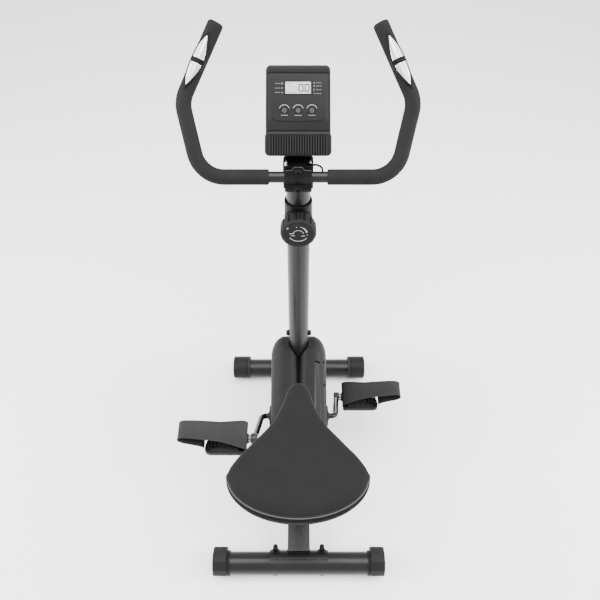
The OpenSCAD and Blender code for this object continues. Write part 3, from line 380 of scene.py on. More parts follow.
def slab(outline, levels):
    """A solid with the given outline; levels are (inset, height) pairs from the bottom up."""
    return loft([[(x, y, z) for x, y in inset(outline, d)] for d, z in levels])


def rounded_levels(z0, z1, r, steps=4):
    """Levels for slab() that round both rims by r."""
    low = [(r * (1 - math.sin(a)), z0 + r * (1 - math.cos(a)))
           for a in [math.pi / 2 * i / steps for i in range(steps + 1)]]
    high = [(d, z1 - (z - z0)) for d, z in reversed(low)]
    return low + high


def rounded_rect(w, h, r, steps=6, bottom=0.0):
    """Anticlockwise outline, centred on X, from bottom to bottom + h."""
    corners = [(w / 2 - r, bottom + r, -90), (w / 2 - r, bottom + h - r, 0),
               (-w / 2 + r, bottom + h - r, 90), (-w / 2 + r, bottom + r, 180)]
    return [p for x, y, a in corners for p in arc_points((x, y), r, a, a + 90, steps)]


def block(w, d, h, centre):
    x, y, z = w / 2, d / 2, h / 2
    verts = [(centre[0] + sx * x, centre[1] + sy * y, centre[2] + sz * z)
             for sz in (-1, 1) for sx, sy in ((-1, -1), (1, -1), (1, 1), (-1, 1))]
    faces = [[3, 2, 1, 0], [4, 5, 6, 7], [0, 1, 5, 4], [1, 2, 6, 5], [2, 3, 7, 6], [3, 0, 4, 7]]
    return verts, faces


def frames_along(points):
    """Points with a tangent and two side vectors each, turned as little as possible."""
    points = [Vector(p) for p in points]
    tangents = [(points[min(i + 1, len(points) - 1)] - points[max(i - 1, 0)]).normalized()
                for i in range(len(points))]
    side = tangents[0].orthogonal().normalized()
    out = []
    for p, t in zip(points, tangents):
        side = (side - t * side.dot(t)).normalized()
        out.append((p, t, side, t.cross(side)))
    return out


def sweep(points, radius, sides=24, round_ends=0.0):
    """A round rod along points. radius is a number or one number a point."""
    frames = frames_along(points)
    radii = radius if isinstance(radius, list) else [radius] * len(frames)

    def ring(p, a, b, r):
        return [p + a * x + b * y for x, y in circle(r, sides)]

    def rounded(end, way, r):
        p, t, a, b = end
        return [ring(p + t * way * round_ends * (1 - k), a, b, r * math.sqrt(1 - (1 - k) ** 2))
                for k in (0.15, 0.5, 0.85)]

    rings = [ring(p, a, b, r) for (p, _, a, b), r in zip(frames, radii)]
    if round_ends:
        rings = rounded(frames[0], -1, radii[0]) + rings + rounded(frames[-1], 1, radii[-1])[::-1]
    return loft(rings)


def smooth_path(points, steps=8):
    """Catmull-Rom curve through points."""
    pts = [Vector(p) for p in points]
    pts = [2 * pts[0] - pts[1]] + pts + [2 * pts[-1] - pts[-2]]
    out = []
    for i in range(1, len(pts) - 2):
        p0, p1, p2, p3 = pts[i - 1:i + 3]
        for k in range(steps):
            t = k / steps
            out.append(0.5 * (2 * p1 + (p2 - p0) * t + (2 * p0 - 5 * p1 + 4 * p2 - p3) * t * t
                              + (3 * p1 - p0 - 3 * p2 + p3) * t ** 3))
    return out + [pts[-2]]


def arc_points(centre, r, start, end, steps=12):
    """Points of a circular arc in the XY plane; angles in degrees."""
    angles = [math.radians(start + (end - start) * i / steps) for i in range(steps + 1)]
    return [(centre[0] + r * math.cos(a), centre[1] + r * math.sin(a)) for a in angles]


def stroke(points, width, z, thick):
    """A flat printed line along 2D points, standing thick above z; width may vary by point."""
    n = len(points)
    widths = width if isinstance(width, list) else [width] * n
    left, right = [], []
    for i in range(n):
        a, b = Vector(points[max(i - 1, 0)]), Vector(points[min(i + 1, n - 1)])
        t = (b - a).normalized()
        p = Vector(points[i])
        half = widths[i] / 2
        left.append((p.x - t.y * half, p.y + t.x * half))
        right.append((p.x + t.y * half, p.y - t.x * half))
    rings = [[(l[0], l[1], z), (r[0], r[1], z), (r[0], r[1], z + thick), (l[0], l[1], z + thick)]
             for l, r in zip(left, right)]
    return loft(rings)


# Frames that the shapes are drawn in: Z along the mast, Y up the console's face, and so on.
# ALONG_X stands a shape drawn in the XY plane across the bike. The knob is 334 mm up the mast
# and 45 mm out from its axis, and the seat tube stands 175 mm before the rear foot.
AT_MAST = (Matrix.Translation((0, KNOB.y, KNOB.z)) @ Matrix.Rotation(-MAST_LEAN, 4, "X")
           @ Matrix.Translation((0, 0.045, -0.334)) @ SCALE)
AT_BAR = Matrix.Translation(BAR) @ Matrix.Rotation(BAR_RISE, 4, "X") @ SCALE
AT_CONSOLE = (Matrix.Translation((0, REAR_Y + 0.480, 1.055))
              @ Matrix.Rotation(CONSOLE_TURN, 4, "X") @ SCALE)
AT_SEAT = (Matrix.Translation((0, REAR_Y + 0.175, 0.075)) @ Matrix.Rotation(SEAT_LEAN, 4, "X")
           @ SCALE)
ALONG_X = Matrix(((0, 0, 1, 0), (1, 0, 0, 0), (0, 1, 0, 0), (0, 0, 0, 1)))
TOWARDS_RIDER = Matrix.Rotation(math.pi / 2, 4, "X")


def shift(x=0, y=0, z=0):
    return Matrix.Translation((x, y, z))


def turn(degrees, axis):
    return Matrix.Rotation(math.radians(degrees), 4, axis)


def strokes(lines, z, thick):
    """One shape of many flat lines. lines are (points, width)."""
    return join(*[stroke(points, width, z, thick) for points, width in lines])


def mix(a, b, t):
    return a + (b - a) * t


# ------------------------------------------------------------------ floor tubes and frame


def make_rear_cap(side, name):
    flat_r = 37.0
    circum = flat_r / math.cos(math.radians(18))
    cy, cz = REAR_Y / MM + 4, FLOOR_TUBE_Z / MM + 4
    outline = [(cy + x, cz + y) for x, y in circle(circum, 10, math.radians(-72))]
    body = slab(outline, [(6, 195.3), (1.6, 195.3), (0.4, 195.8), (0, 197), (0, 229.5),
                          (0.5, 231.3), (2.2, 232.6), (4.5, 233), (9, 233), (9.6, 232.2),
                          (flat_r - 1, 232.2)])
    neck = moved(lathe([(30.1, 187), (32.2, 187), (33, 187.8), (33, 196), (30.1, 196)]),
                 shift(cy - 4, cz - 4))
    shape = moved(join(body, neck), ALONG_X)
    piece(f"rear_cap_{name}_look", on_side(shape, side), "cap_plastic", f"rear_cap_{name}_body",
          stands_for=[f"rear_cap_{name}"], sharp=25, bevel=0.8)


def make_front_cap(side, name):
    cy, cz = FRONT_Y / MM + 2.5, FLOOR_TUBE_Z / MM + 2.5
    wheel = joint_pos(f"transport_wheel_{name}_spin") / MM
    outline = [(cy + x, max(cz + y, 0.02)) for x, y in circle(36, 72)]
    body = slab(outline, [(5, 159.8), (1.2, 159.8), (0, 161), (0, 168), (0.8, 168.6), (0.8, 169.8),
                          (0, 170.4), (0, 209)])
    dome = loft([[(cy + (x - cy) * k, mix(cz, y, k), h) for x, y in outline]
                 for k, h in ((1, 209), (0.99, 211.5), (0.955, 213.5), (0.89, 214.5), (0.7, 214.5),
                              (0.68, 213.6), (0.05, 213.6))])
    arm = [(wheel.y + 11 * math.cos(a), wheel.z + 11 * math.sin(a))
           for a in [math.radians(-90 + 15 * i) for i in range(13)]]
    arm += [(cy + 24, wheel.z + 15), (cy + 10, wheel.z + 15), (cy + 10, wheel.z - 14),
            (cy + 24, wheel.z - 13)]
    cheeks = [slab(arm, rounded_levels(x, x + 5, 1.2, 2))
              for x in (abs(wheel.x) - 7.6 - 5, abs(wheel.x) + 7.6)]
    pin = moved(lathe([(4, -14.4), (5.5, -14.2), (5.5, -12.6), (4, -12.6), (4, 12.6), (5.5, 12.6),
                       (5.5, 14.2), (4, 14.4)], 24), shift(wheel.y, wheel.z, abs(wheel.x)))
    shape = moved(join(body, dome, *cheeks, pin), ALONG_X)
    piece(f"front_cap_{name}_look", on_side(shape, side), "cap_plastic", "frame",
          stands_for=[f"front_cap_{name}"])


def make_transport_wheel(name):
    wheel = joint_pos(f"transport_wheel_{name}_spin") / MM
    tyre = [(4.2, -5.2), (7.6, -5.2), (8.2, -6.6), (10.6, -7), (12.3, -6.3), (13, -4.8), (13, -1),
            (12.5, -0.6), (12.5, 0.6), (13, 1), (13, 4.8), (12.3, 6.3), (10.6, 7), (8.2, 6.6),
            (7.6, 5.2), (4.2, 5.2)]
    shape = moved(ring_lathe(tyre), ALONG_X)
    piece(f"transport_wheel_{name}_look", shape, "wheel_rubber", f"wheel_{name}_body",
          at=SCALE @ shift(*wheel), stands_for=[f"transport_wheel_{name}"])


def hexagon(across_corners):
    return circle(across_corners / 2, 6, math.radians(30))


def acorn_nut(z):
    flats = slab(hexagon(16), [(1.4, z), (0.3, z + 0.5), (0, z + 1.2), (0, z + 7), (0.8, z + 8)])
    crown = arc_points((0, z + 10.6), 6.7, 0, 84, 7)
    return join(flats, lathe([(6.7, z + 7.6), (6.7, z + 10)] + crown, 32))


def make_floor_bolts():
    washer = lathe([(4, 34), (12.4, 33.6), (12.8, 34.6), (12.2, 36.3), (4, 36.5)], 40)
    head = lathe([(4, -29), (9, -30.2), (9, -31), (6.6, -32.4), (3, -33), (0.2, -33.1)], 32)
    nuts, washers, heads = [], [], []
    for tube_y, tilt in ((REAR_Y, -48), (FRONT_Y, 48)):
        for x in (-63.5, 63.5):
            at = shift(x, tube_y / MM, FLOOR_TUBE_Z / MM) @ turn(tilt, "X")
            nuts.append(moved(acorn_nut(36.5), at))
            washers.append(moved(washer, at))
            heads.append(moved(head, at))
    piece("acorn_nuts_look", join(*nuts), "black_fastener", "frame", stands_for=["acorn_nuts"])
    piece("curved_washers_look", join(*washers), "black_fastener", "frame",
          stands_for=["curved_washers"])
    piece("carriage_bolts_look", join(*heads), "black_fastener", "frame",
          stands_for=["stabilizer_bolts"])


def weld_bead(name, points, r, closed=False):
    """A rippled bead of weld along points."""
    rng = random.Random(name)
    path = smooth_path(points, 10)
    if closed:
        path = path[:-1]
    rings = []
    for i, (p, _, a, b) in enumerate(frames_along(path)):
        swell = r * (0.85 + 0.22 * abs(math.sin(i * 0.9)) + rng.uniform(-0.05, 0.05))
        rings.append([p + a * x + b * y for x, y in circle(swell, 8)])
    piece(name, loft(rings, loop=closed), "weld", "frame")


def make_welds():
    base = Vector((0, REAR_Y / MM + 175, 75.6))
    low = arc_points((0, 0), 25.6, 0, 360, 24)
    weld_bead("weld_seat_tube", [base + Vector((x, y / math.cos(SEAT_LEAN), 0)) for x, y in low],
              2.2, closed=True)
    for end, tube_y, way in (("rear", REAR_Y / MM, 1), ("front", FRONT_Y / MM, -1)):
        down = [(tube_y + way * (0.6 + math.sqrt(34 ** 2 - (z - 33) ** 2)), z)
                for z in (40, 46, 52, 58)]
        for name, side in SIDES.items():
            weld_bead(f"weld_beam_{end}_{name}", [(side * 30.4, y, z) for y, z in down], 1.8)
        weld_bead(f"weld_beam_top_{end}",
                  [(x, tube_y + way * 19.6, 61.4) for x in range(-28, 29, 8)], 1.8)


# -------------------------------------------------------------------------------- housing

WHEEL_HOUSE_R, NECK_R, NECK_DROP = 122.0, 42.0, 34.0
NECK_Y, NECK_Z = REAR_Y / MM + 428, 435.0
HOUSE_CIRCLES = [(CRANK.y / MM, CRANK.z / MM, WHEEL_HOUSE_R),
                 (REAR_Y / MM + 465, 205.0, WHEEL_HOUSE_R), (NECK_Y, NECK_Z, NECK_R)]
HOUSE_STEPS = 180
HOUSE_HALF, HOUSE_ROUND = 73, 38
HOUSE_SCREWS = [(NECK_Y - 32, 435), (NECK_Y + 32, 435), (NECK_Y + 92, 330), (NECK_Y - 83, 405)]


def house_outline(d=0.0):
    """(y, z) points where each direction in turn touches the outline, drawn in by d.

    The neck comes down as it's drawn in, so the top of the housing is rounder than its rim.
    """
    drop = NECK_DROP * d / HOUSE_ROUND
    circles = [(y, z - (drop if r == NECK_R else 0), r) for y, z, r in HOUSE_CIRCLES]
    points = []
    for u in circle(1, HOUSE_STEPS):
        y, z, r = max(circles, key=lambda c: c[0] * u[0] + c[1] * u[1] + c[2])
        points.append((y + (r - d) * u[0], z + (r - d) * u[1]))
    return points


def housing_shape():
    """The right shell, solid, with a dished hole round the crank and a valley along the seam."""
    levels = [(0.2, 14), (0.2, 9.4), (1, 8.2), (4, 6), (8, 3.5), (13, 1.4), (18, 0.3), (24, 0)]
    flank = HOUSE_HALF - HOUSE_ROUND
    levels += [(flank, 0)] + [(flank + HOUSE_ROUND * math.sin(a), HOUSE_ROUND * (1 - math.cos(a)))
                              for a in [math.radians(6 * i) for i in range(1, 16)]]
    rings = []
    for x, d in levels:
        near, deeper = house_outline(d), house_outline(d * 1.5 if x < 30 else d)
        rings.append([(x, mix(y, v, t), mix(z, w, t)) for (y, z), (v, w) in zip(near, deeper)
                      for t in [min(max((z - 350) / 90, 0), 1)]])
    hub = [(CRANK.y / MM + y, CRANK.z / MM + z) for y, z in circle(31, HOUSE_STEPS)]
    rim = house_outline(HOUSE_ROUND)
    for t, x in ((0.12, 73), (0.16, 72.4), (0.2, 72.4), (0.24, 73), (0.9, 73), (1, 72), (1, 62)):
        rings.append([(x, mix(a[0], b[0], t), mix(a[1], b[1], t)) for a, b in zip(rim, hub)])
    return loft(rings)


def carve(obj, cutters):
    """Cuts closed shapes, given in world millimetres, out of obj."""
    for i, shape in enumerate(cutters):
        mesh = bpy.data.meshes.new(f"cutter_{i}")
        mesh.from_pydata([tuple(v) for v in place(shape[0], SCALE)], [], shape[1])
        fix = bmesh.new()
        fix.from_mesh(mesh)
        bmesh.ops.recalc_face_normals(fix, faces=fix.faces)
        fix.to_mesh(mesh)
        fix.free()
        cutter = bpy.data.objects.new(f"cutter_{i}", mesh)
        bpy.context.scene.collection.objects.link(cutter)
        mod = obj.modifiers.new("carve", "BOOLEAN")
        mod.operation, mod.solver, mod.object = "DIFFERENCE", "EXACT", cutter
        bpy.context.view_layer.objects.active = obj
        bpy.ops.object.modifier_apply(modifier=mod.name)
        bpy.data.objects.remove(cutter)


def make_housing():
    shape = housing_shape()
    mast_hole = moved(lathe([(25.8, -150), (25.8, -20)], 48), Matrix.Scale(1 / MM, 4) @ AT_MAST)
    well = lathe([(4.4, 30), (4.4, 90)], 32)
    wells = [moved(well, shift(y=y, z=z) @ ALONG_X) for y, z in HOUSE_SCREWS]
    slot = moved(slab(rounded_rect(14, 3.6, 1.7, bottom=-1.8), [(0, -12), (0, 12)]),
                 shift(49, NECK_Y - 42, 447))
    for name, side in SIDES.items():
        shell = piece(f"housing_{name}_look", on_side(shape, side), "housing_plastic", "frame",
                      stands_for=[f"housing_{name}"], sharp=28)
        carve(shell, [mast_hole] + (wells + [slot] if side > 0 else []))
    screw = lathe([(4.2, 26), (4.2, 28.4), (3.4, 29), (1.9, 29), (1.8, 27.6), (0.1, 27.6)], 24)
    screws = [moved(screw, shift(y=y, z=z) @ ALONG_X) for y, z in HOUSE_SCREWS]
    piece("housing_screws_look", join(*screws), "black_fastener", "frame",
          stands_for=["housing_screws"])


# ------------------------------------------------------------------------ crank and pedals


CRANK_LEN, CRANK_ANGLE, ROD_R = 155, 42, 7.5


def make_crank():
    path = smooth_path([(40, 0, 0), (84, 0, 0), (93.5, 0, -2.5), (99.5, 0, -10), (102.2, 0, -24),
                        (104.6, 0, -62), (107.4, 0, -105), (109.4, 0, -132), (110.6, 0, -150)], 10)
    boss = lathe([(7.8, 103), (12.6, 103), (13.6, 103.7), (14, 104.8), (14, 117.2), (13.6, 118.3),
                  (12.6, 119), (7.8, 119)], 48)
    nut = slab(hexagon(19.5), [(1.2, 119.2), (0, 120.2), (0, 125), (1.2, 126)])
    at_end = shift(z=-CRANK_LEN) @ ALONG_X
    arm = join(sweep(path, ROD_R, 28), moved(boss, at_end), moved(nut, at_end))
    arms = [moved(on_side(arm, side), shift(*(CRANK / MM)) @ turn(side * 90 - CRANK_ANGLE, "X"))
            for side in SIDES.values()]
    axle = moved(lathe([(ROD_R, -60), (ROD_R, 60)], 28), shift(*(CRANK / MM)) @ ALONG_X)
    piece("crank_look", join(axle, *arms), "crank_paint", "crankset", stands_for=["crank"])
    disc = [(7.7, 76), (28.5, 76), (28.7, 76.5), (28.5, 78.2), (27.4, 79.4), (25, 79.8), (23, 79.2),
            (21, 79.2), (19, 80), (12, 80.4), (10.5, 83), (8.2, 83.4), (7.7, 83.2)]
    discs = [moved(on_side(moved(ring_lathe(disc), ALONG_X), side), shift(*(CRANK / MM)))
             for side in SIDES.values()]
    piece("crank_discs_look", join(*discs), "cap_plastic", "crankset", stands_for=["crank_discs"])


def pedal_outline():
    """Seen from above: x out along the spindle from 130, y forwards. The outer end is waisted."""
    right = [(0, -38), (1, -40.4), (3.5, -41)]
    outer = [(88, -41), (97, -39), (101.5, -34), (102, -27)]
    waist = [(102 - 5.5 * math.cos(math.pi * t / 2) ** 2, 27 * t) for t in
             [-0.75 + 0.25 * i for i in range(7)]]
    return right + outer + waist + [(x, -y) for x, y in reversed(right + outer)]


def pedal_body_shape():
    base = pedal_outline()
    tray = slab(base, [(2.4, -11), (0.6, -10.2), (0, -8.8), (0, 6), (0.7, 7.4), (2.2, 8),
                       (4.2, 7.8), (5, 6.6), (5, 4.6), (12, 4.6)])
    belly = slab([(x, y * 0.62) for x, y in inset(base, 9)],
                 [(6, -21), (2, -20), (0.4, -17), (0, -10.5)])
    ribs = [block(4.2, 46, 2.4, (x, 0, 5.6)) for x in range(14, 96, 9)]
    studs = [moved(lathe([(2.4, 7.6), (2.2, 9.6), (1.4, 10.4), (0.1, 10.5)], 16), shift(x, y))
             for x in (18.5, 36.5, 54.5, 72.5, 90.5) for y in (-28, 28)]
    barrel = moved(lathe([(6.8, -5), (11.6, -5), (12.4, -4), (12.4, 0)], 40), ALONG_X)
    return join(tray, belly, barrel, *ribs, *studs)


STRAP = [(-1.5, 10), (-1.5, 17), (6, 24), (32, 33), (72, 42), (112, 50), (142, 54), (158, 52),
         (165, 43), (164, 33), (154, 24), (136, 17), (116, 9), (104.5, 0)]


def strap_width(x):
    return mix(74, 53, min(max(x - 8, 0) / 54, 1)) if x < 62 else mix(53, 45, (x - 62) / 118)


def strap_shape():
    line = smooth_path([(x, 0, z) for x, z in STRAP], 8)
    rings = []
    for i, p in enumerate(line):
        a, b = line[max(i - 1, 0)], line[min(i + 1, len(line) - 1)]
        t = (b - a).normalized()
        up = Vector((-t.z, 0, t.x))
        half = strap_width(p.x) / 2
        ring = []
        for y, h in ((-half, -0.7), (-half, 0.7), (-half + 0.8, 1.4), (-half + 3.4, 1.4),
                     (-half + 4.2, 0.9), (half - 4.2, 0.9), (half - 3.4, 1.4), (half - 0.8, 1.4),
                     (half, 0.7), (half, -0.7), (half - 1, -1.3), (-half + 1, -1.3)):
            ring.append(p + Vector((0, y, 0)) + up * h)
        rings.append(ring)
    return loft(rings)


PEDAL_X = 130


def make_pedals():
    stud = moved(lathe([(0.1, 0), (3.6, 0), (3.6, 1.2), (2, 2.6), (0.1, 2.8)], 20),
                 shift(128.6, 0, 13.5) @ turn(-90, "Y"))
    body, strap = (moved(shape, shift(PEDAL_X)) for shape in (pedal_body_shape(), strap_shape()))
    for name, side in SIDES.items():
        at = SCALE @ shift(0, PEDALS[name].y / MM, PEDALS[name].z / MM)
        piece(f"pedal_{name}_look", on_side(body, side), "pedal_plastic", f"pedal_{name}", at=at,
              stands_for=[f"pedal_body_{name}"], bevel=0.5, segments=1)
        piece(f"pedal_strap_{name}_look", on_side(strap, side), "strap_rubber", f"pedal_{name}",
              at=at, stands_for=[f"pedal_strap_{name}"], sharp=60)
        piece(f"pedal_strap_stud_{name}", on_side(stud, side), "pedal_plastic", f"pedal_{name}",
              at=at)


# ----------------------------------------------------------------- tension knob and clamp


def make_tension_base():
    """A collar round the mast, its lower edge raised towards the rider, and the knob's seat."""
    steps = 72
    rings = []
    for r, end, lift in ((25.1, 0, 1), (28.2, 0, 0), (29.4, 0, 1.2), (29.4, 1, -1.2), (28.2, 1, 0),
                         (25.1, 1, -1)):
        ring = []
        for i in range(steps):
            a = 2 * math.pi * i / steps
            facing = max(0, -math.sin(a)) ** 1.5
            z = mix(313, 376, end) + (0 if end else 4 * facing) + lift
            ring.append((r * math.cos(a), r * math.sin(a), z))
        rings.append(ring)
    collar = loft(rings, loop=True)
    seat = lathe([(24, 8), (30, 9), (30, 32), (29.4, 33.3), (28, 33.7), (8.2, 33.7), (8, 30)], 72)
    seat = moved(seat, shift(z=338) @ TOWARDS_RIDER)
    piece("tension_base_look", join(collar, seat), "collar_plastic", "frame", at=AT_MAST,
          stands_for=["tension_base"])


def grooved(levels, ribs, deepest, power, steps):
    """A turned shape with grooves between ribs. levels are (radius, height, share of the depth)."""
    rings = []
    for r, h, share in levels:
        ring = []
        for i in range(steps):
            a = 2 * math.pi * i / steps
            dip = deepest * share * max(0, math.cos(ribs * a)) ** power
            ring.append(((r - dip) * math.cos(a), (r - dip) * math.sin(a), h))
        rings.append(ring)
    return loft(rings)


def make_knob():
    levels = [(36.8, 34, 0.3), (37.8, 34.6, 0.8), (37.8, 36, 1), (37.8, 55, 1), (37.2, 57.4, 0.9),
              (35.8, 59, 0.3), (34.6, 59.4, 0), (31.4, 59.4, 0), (30.8, 58.9, 0), (30.6, 58.2, 0),
              (29.5, 57.9, 0), (0.1, 58.2, 0)]
    at = AT_MAST @ shift(z=331) @ TOWARDS_RIDER
    piece("tension_knob_look", grooved(levels, 15, 3, 6, 300), "knob_plastic", "knob", at=at,
          stands_for=["tension_knob"], sharp=50)
    z, thick = 58.2, 0.25
    marks = [moved(lathe([(r, z), (r, z + thick), (0.1, z + thick)], 24), shift(x, y))
             for x, y, r in ((-22.4, 14, 2), (-3.4, 16.7, 1), (18.4, -2.6, 1.1), (-10.5, 1.7, 1.1),
                             (10.5, 1.7, 1.1))]
    lines = [(arc_points((0, 0), 18, 78, 12, 20), [0.6 + 0.16 * i for i in range(21)]),
             (arc_points((0, -2.5), 11.3, 22, 158, 20), 1.1),
             (arc_points((0, 2), 22, 215, 322, 24), 1.3)]
    lines += [([(x0, y), (x1, y)], 1.2)
              for x0, x1, y in ((-19, -9, 0), (-15.6, -6.8, -5.3), (6, 14, -6))]
    marks.append(strokes(lines, z, thick))
    # A lighter ring on the rounded edge of the face: a painted highlight.
    rim = ring_lathe([(33.6, 59.1), (33.6, 59.6), (35.6, 59.3), (35.6, 58.8)], 96)
    piece("tension_knob_rim", rim, "knob_rim", "knob", at=at)
    piece("tension_knob_marks", join(*marks), "print_white", "knob", at=at)


def make_clamp():
    """The flat plate across the bar's front, with a raised middle, and its two bolts."""
    out, bar_at, half = -39.3, 460.7, 26.5
    low = [(-half, -27), (half, -27), (half, -11.5), (-half, -11.5)]
    top = [(half, 22.5), (12, 24), (8, 30.5), (-8, 30.5), (-12, 24), (-half, 22.5)]
    high = [(-half, -11.5), (half, -11.5)] + top
    at_front = shift(0, out, bar_at) @ TOWARDS_RIDER
    flange = slab(low, [(0, 11.1), (0, 14.4), (0.5, 14.9)])
    face = slab(high, [(0, 11.1), (0, 13.7), (0.4, 14.1)])
    ledge = slab([(x * 0.93, y) for x, y in high], [(0, 13), (0, 13.2)])
    sides = [block(3, 11, 15, (s * 25, out - 5.8, bar_at - 19.5)) for s in (-1, 1)]
    plate = join(moved(join(flange, face, ledge), at_front), *sides)
    piece("clamp_plate_look", plate, "clamp_paint", "frame", at=AT_MAST,
          stands_for=["clamp_plate"], bevel=0.7, sharp=50)
    # A lighter line along the plate's top edge: a painted highlight.
    edge = stroke([(x * 0.98, y - 0.5) for x, y in top], 1.1, 14, 0.3)
    piece("clamp_plate_edge_highlight", moved(edge, at_front), "clamp_edge_highlight", "frame", at=AT_MAST)
    head = lathe([(5.6, 54.2), (5.9, 54.6), (5.9, 57.4), (5.2, 58.4), (4.2, 58.4), (3.6, 58)], 36)
    socket = lathe([(3.6, 58), (3.4, 55.4), (0.1, 55.2)], 6)
    washer = lathe([(4, 53.6), (6.9, 53.6), (6.9, 54.4), (6.5, 54.8), (5.6, 54.8)], 36)
    bolt = join(head, socket, washer)
    bolts = [moved(bolt, shift(z=bar_at + s * 20) @ TOWARDS_RIDER) for s in (-1, 1)]
    piece("clamp_bolts_look", join(*bolts), "black_fastener", "frame", at=AT_MAST,
          stands_for=["clamp_bolts"])


def make_pulse_cable():
    route = [(20, -4, 462), (28, -5, 463), (34, -9, 466.5), (40, -18, 471), (45, -28, 474),
             (47, -35, 473), (47, -39, 470.5), (47, -39.3, 467)]
    piece("pulse_cable_look", sweep(smooth_path(route, 8), 2.1, 14), "cable_black", "frame",
          at=AT_MAST, stands_for=["pulse_cable"])
    ring = ring_lathe([(2.2, -1.6), (4.4, -1.6), (5, -0.6), (4.2, 0.8), (3.2, 1.8), (2.2, 1.8)], 28)
    ring = moved(ring, shift(25.6, -4.2, 462.3) @ turn(90, "Y"))
    piece("pulse_cable_grommet", ring, "cable_black", "frame", at=AT_MAST)


# ------------------------------------------------------------------------------ handlebar

BAR_R, FOAM_R, BEND_R = 11.0, 15.25, 58.0
LOW, MID, HIGH, TURN_LOW, TURN_HIGH = 144.3, 78.5, 133.3, 77.7, 38.2


def after_bend(angle):
    a = math.radians(angle)
    return shift(BEND_R * math.sin(a), BEND_R * (1 - math.cos(a)), 0) @ turn(angle, "Z")


UPPER_RUN = shift(LOW) @ after_bend(TURN_LOW) @ shift(MID) @ after_bend(TURN_HIGH)


def bar_route(start, end_extra=0.0):
    """Points along the right half of the bar, from start off the middle."""
    points = [Vector((start + (LOW - start) * i / 20, 0, 0)) for i in range(20)]
    points += [shift(LOW) @ after_bend(TURN_LOW * i / 16) @ Vector((0, 0, 0)) for i in range(16)]
    mid = shift(LOW) @ after_bend(TURN_LOW)
    points += [mid @ Vector((MID * i / 12, 0, 0)) for i in range(12)]
    points += [mid @ shift(MID) @ after_bend(TURN_HIGH * i / 12) @ Vector((0, 0, 0)) for i in range(12)]
    length = HIGH + end_extra
    return points + [UPPER_RUN @ Vector((length * i / 24, 0, 0)) for i in range(25)]


def sensor_patch(half_len, half_w, top, low, soft=1.2, band=0.0):
    """A leaf-shaped pad on a cylinder along X, its rim rounded by soft; band leaves a gap across."""
    arc = (half_len ** 2 + half_w ** 2) / (2 * half_w)
    spans = [(-half_len, half_len)] if not band else [(-half_len, -band / 2), (band / 2, half_len)]
    shapes = []
    for x0, x1 in spans:
        rings = []
        for i in range(41):
            x = mix(x0, x1, 0.5 - 0.5 * math.cos(math.pi * i / 40))
            near = min(abs(x - x0), abs(x - x1))
            w = max(math.sqrt(max(arc ** 2 - x * x, 0)) - (arc - half_w), 0.25)
            drop = soft * (1 - math.sqrt(1 - (1 - min(near / soft, 1)) ** 2)) if soft else 0
            ring = []
            for k in range(25):
                v = mix(-1, 1, k / 24)
                edge = (1 - abs(v)) * w
                fall = soft * (1 - math.sqrt(1 - (1 - min(edge / soft, 1)) ** 2)) if soft else 0
                a = math.asin(min(v * w / top, 0.99))
                r = top - max(drop, fall)
                ring.append((x, r * math.sin(a), r * math.cos(a)))
            for k in range(9):
                a = math.asin(mix(w, -w, k / 8) / top)
                ring.append((x, low * math.sin(a), low * math.cos(a)))
            rings.append(ring)
        shapes.append(loft(rings))
    return join(*shapes)


def make_handlebar():
    half = bar_route(20)
    path = [(-p.x, p.y, p.z) for p in reversed(half)] + [tuple(p) for p in half]
    piece("handlebar_tube_look", sweep(path, BAR_R, 32), "frame_paint", "handlebar", at=AT_BAR,
          stands_for=["handlebar_tube"])
    grip_path = bar_route(57, 4)
    radii = [FOAM_R] * len(grip_path)
    pad_at = UPPER_RUN @ turn(8, "X") @ shift(59)
    electrodes = []
    for name, side in SIDES.items():
        foam = sweep([grip_path[0] + Vector((k, 0, 0)) for k in (0, 0.6, 1.6, 3)] + grip_path[1:-1]
                     + [mix(grip_path[-2], grip_path[-1], k) for k in (0.55, 0.8, 1)],
                     [13.2, 14.4, 15.05] + [FOAM_R] * (len(radii) - 1) + [15.0, 13.6], 40)
        piece(f"grip_{name}_look", on_side(foam, side), "grip_foam", "handlebar", at=AT_BAR,
              stands_for=[f"grip_{name}"], sharp=70)
        plug = lathe([(12.8, HIGH + 3.6), (12.4, HIGH + 4.1), (9, HIGH + 4.3), (0.1, HIGH + 4.3)], 40)
        piece(f"grip_plug_{name}", on_side(moved(plug, UPPER_RUN @ turn(90, "Y")), side), "grip_foam",
              "handlebar", at=AT_BAR)
        pad = moved(sensor_patch(57, 16, 17.3, 14.2, soft=1.9), pad_at)
        half_len, half_w = 51.5, 13.4
        arc = (half_len ** 2 + half_w ** 2) / (2 * half_w)
        rim_path = []
        for i in range(64):
            a = 2 * math.pi * i / 64
            x = half_len * math.cos(a)
            w = (math.sqrt(arc ** 2 - x * x) - (arc - half_w)) * (1 if math.sin(a) >= 0 else -1)
            b = math.asin(w / 17.3)
            rim_path.append(Vector((x, 17.2 * math.sin(b), 17.2 * math.cos(b))))
        rim = [[p + u * x + v * y for x, y in circle(0.75, 8)]
               for p, _, u, v in frames_along(rim_path)]
        band_arc = arc_points((0, 0), 18.1, 133, 47, 12) + arc_points((0, 0), 16.6, 47, 133, 12)
        band = loft([[(x, y, z) for y, z in band_arc] for x in (-4.4, 4.4)])
        shape = join(pad, moved(loft(rim, loop=True), pad_at), moved(band, pad_at))
        piece(f"sensor_housing_{name}_look", on_side(shape, side), "sensor_plastic", "handlebar",
              at=AT_BAR, stands_for=[f"sensor_housing_{name}"])
        plates = moved(sensor_patch(48.6, 12, 17.85, 15.5, soft=0.6, band=9.2), pad_at)
        electrodes.append(on_side(plates, side))
    piece("electrode_plates_look", join(*electrodes), "electrode_metal", "handlebar", at=AT_BAR,
          stands_for=["electrode_plates"])


# -------------------------------------------------------------------------------- console

FACE_W, FACE_H = 124.0, 165.0


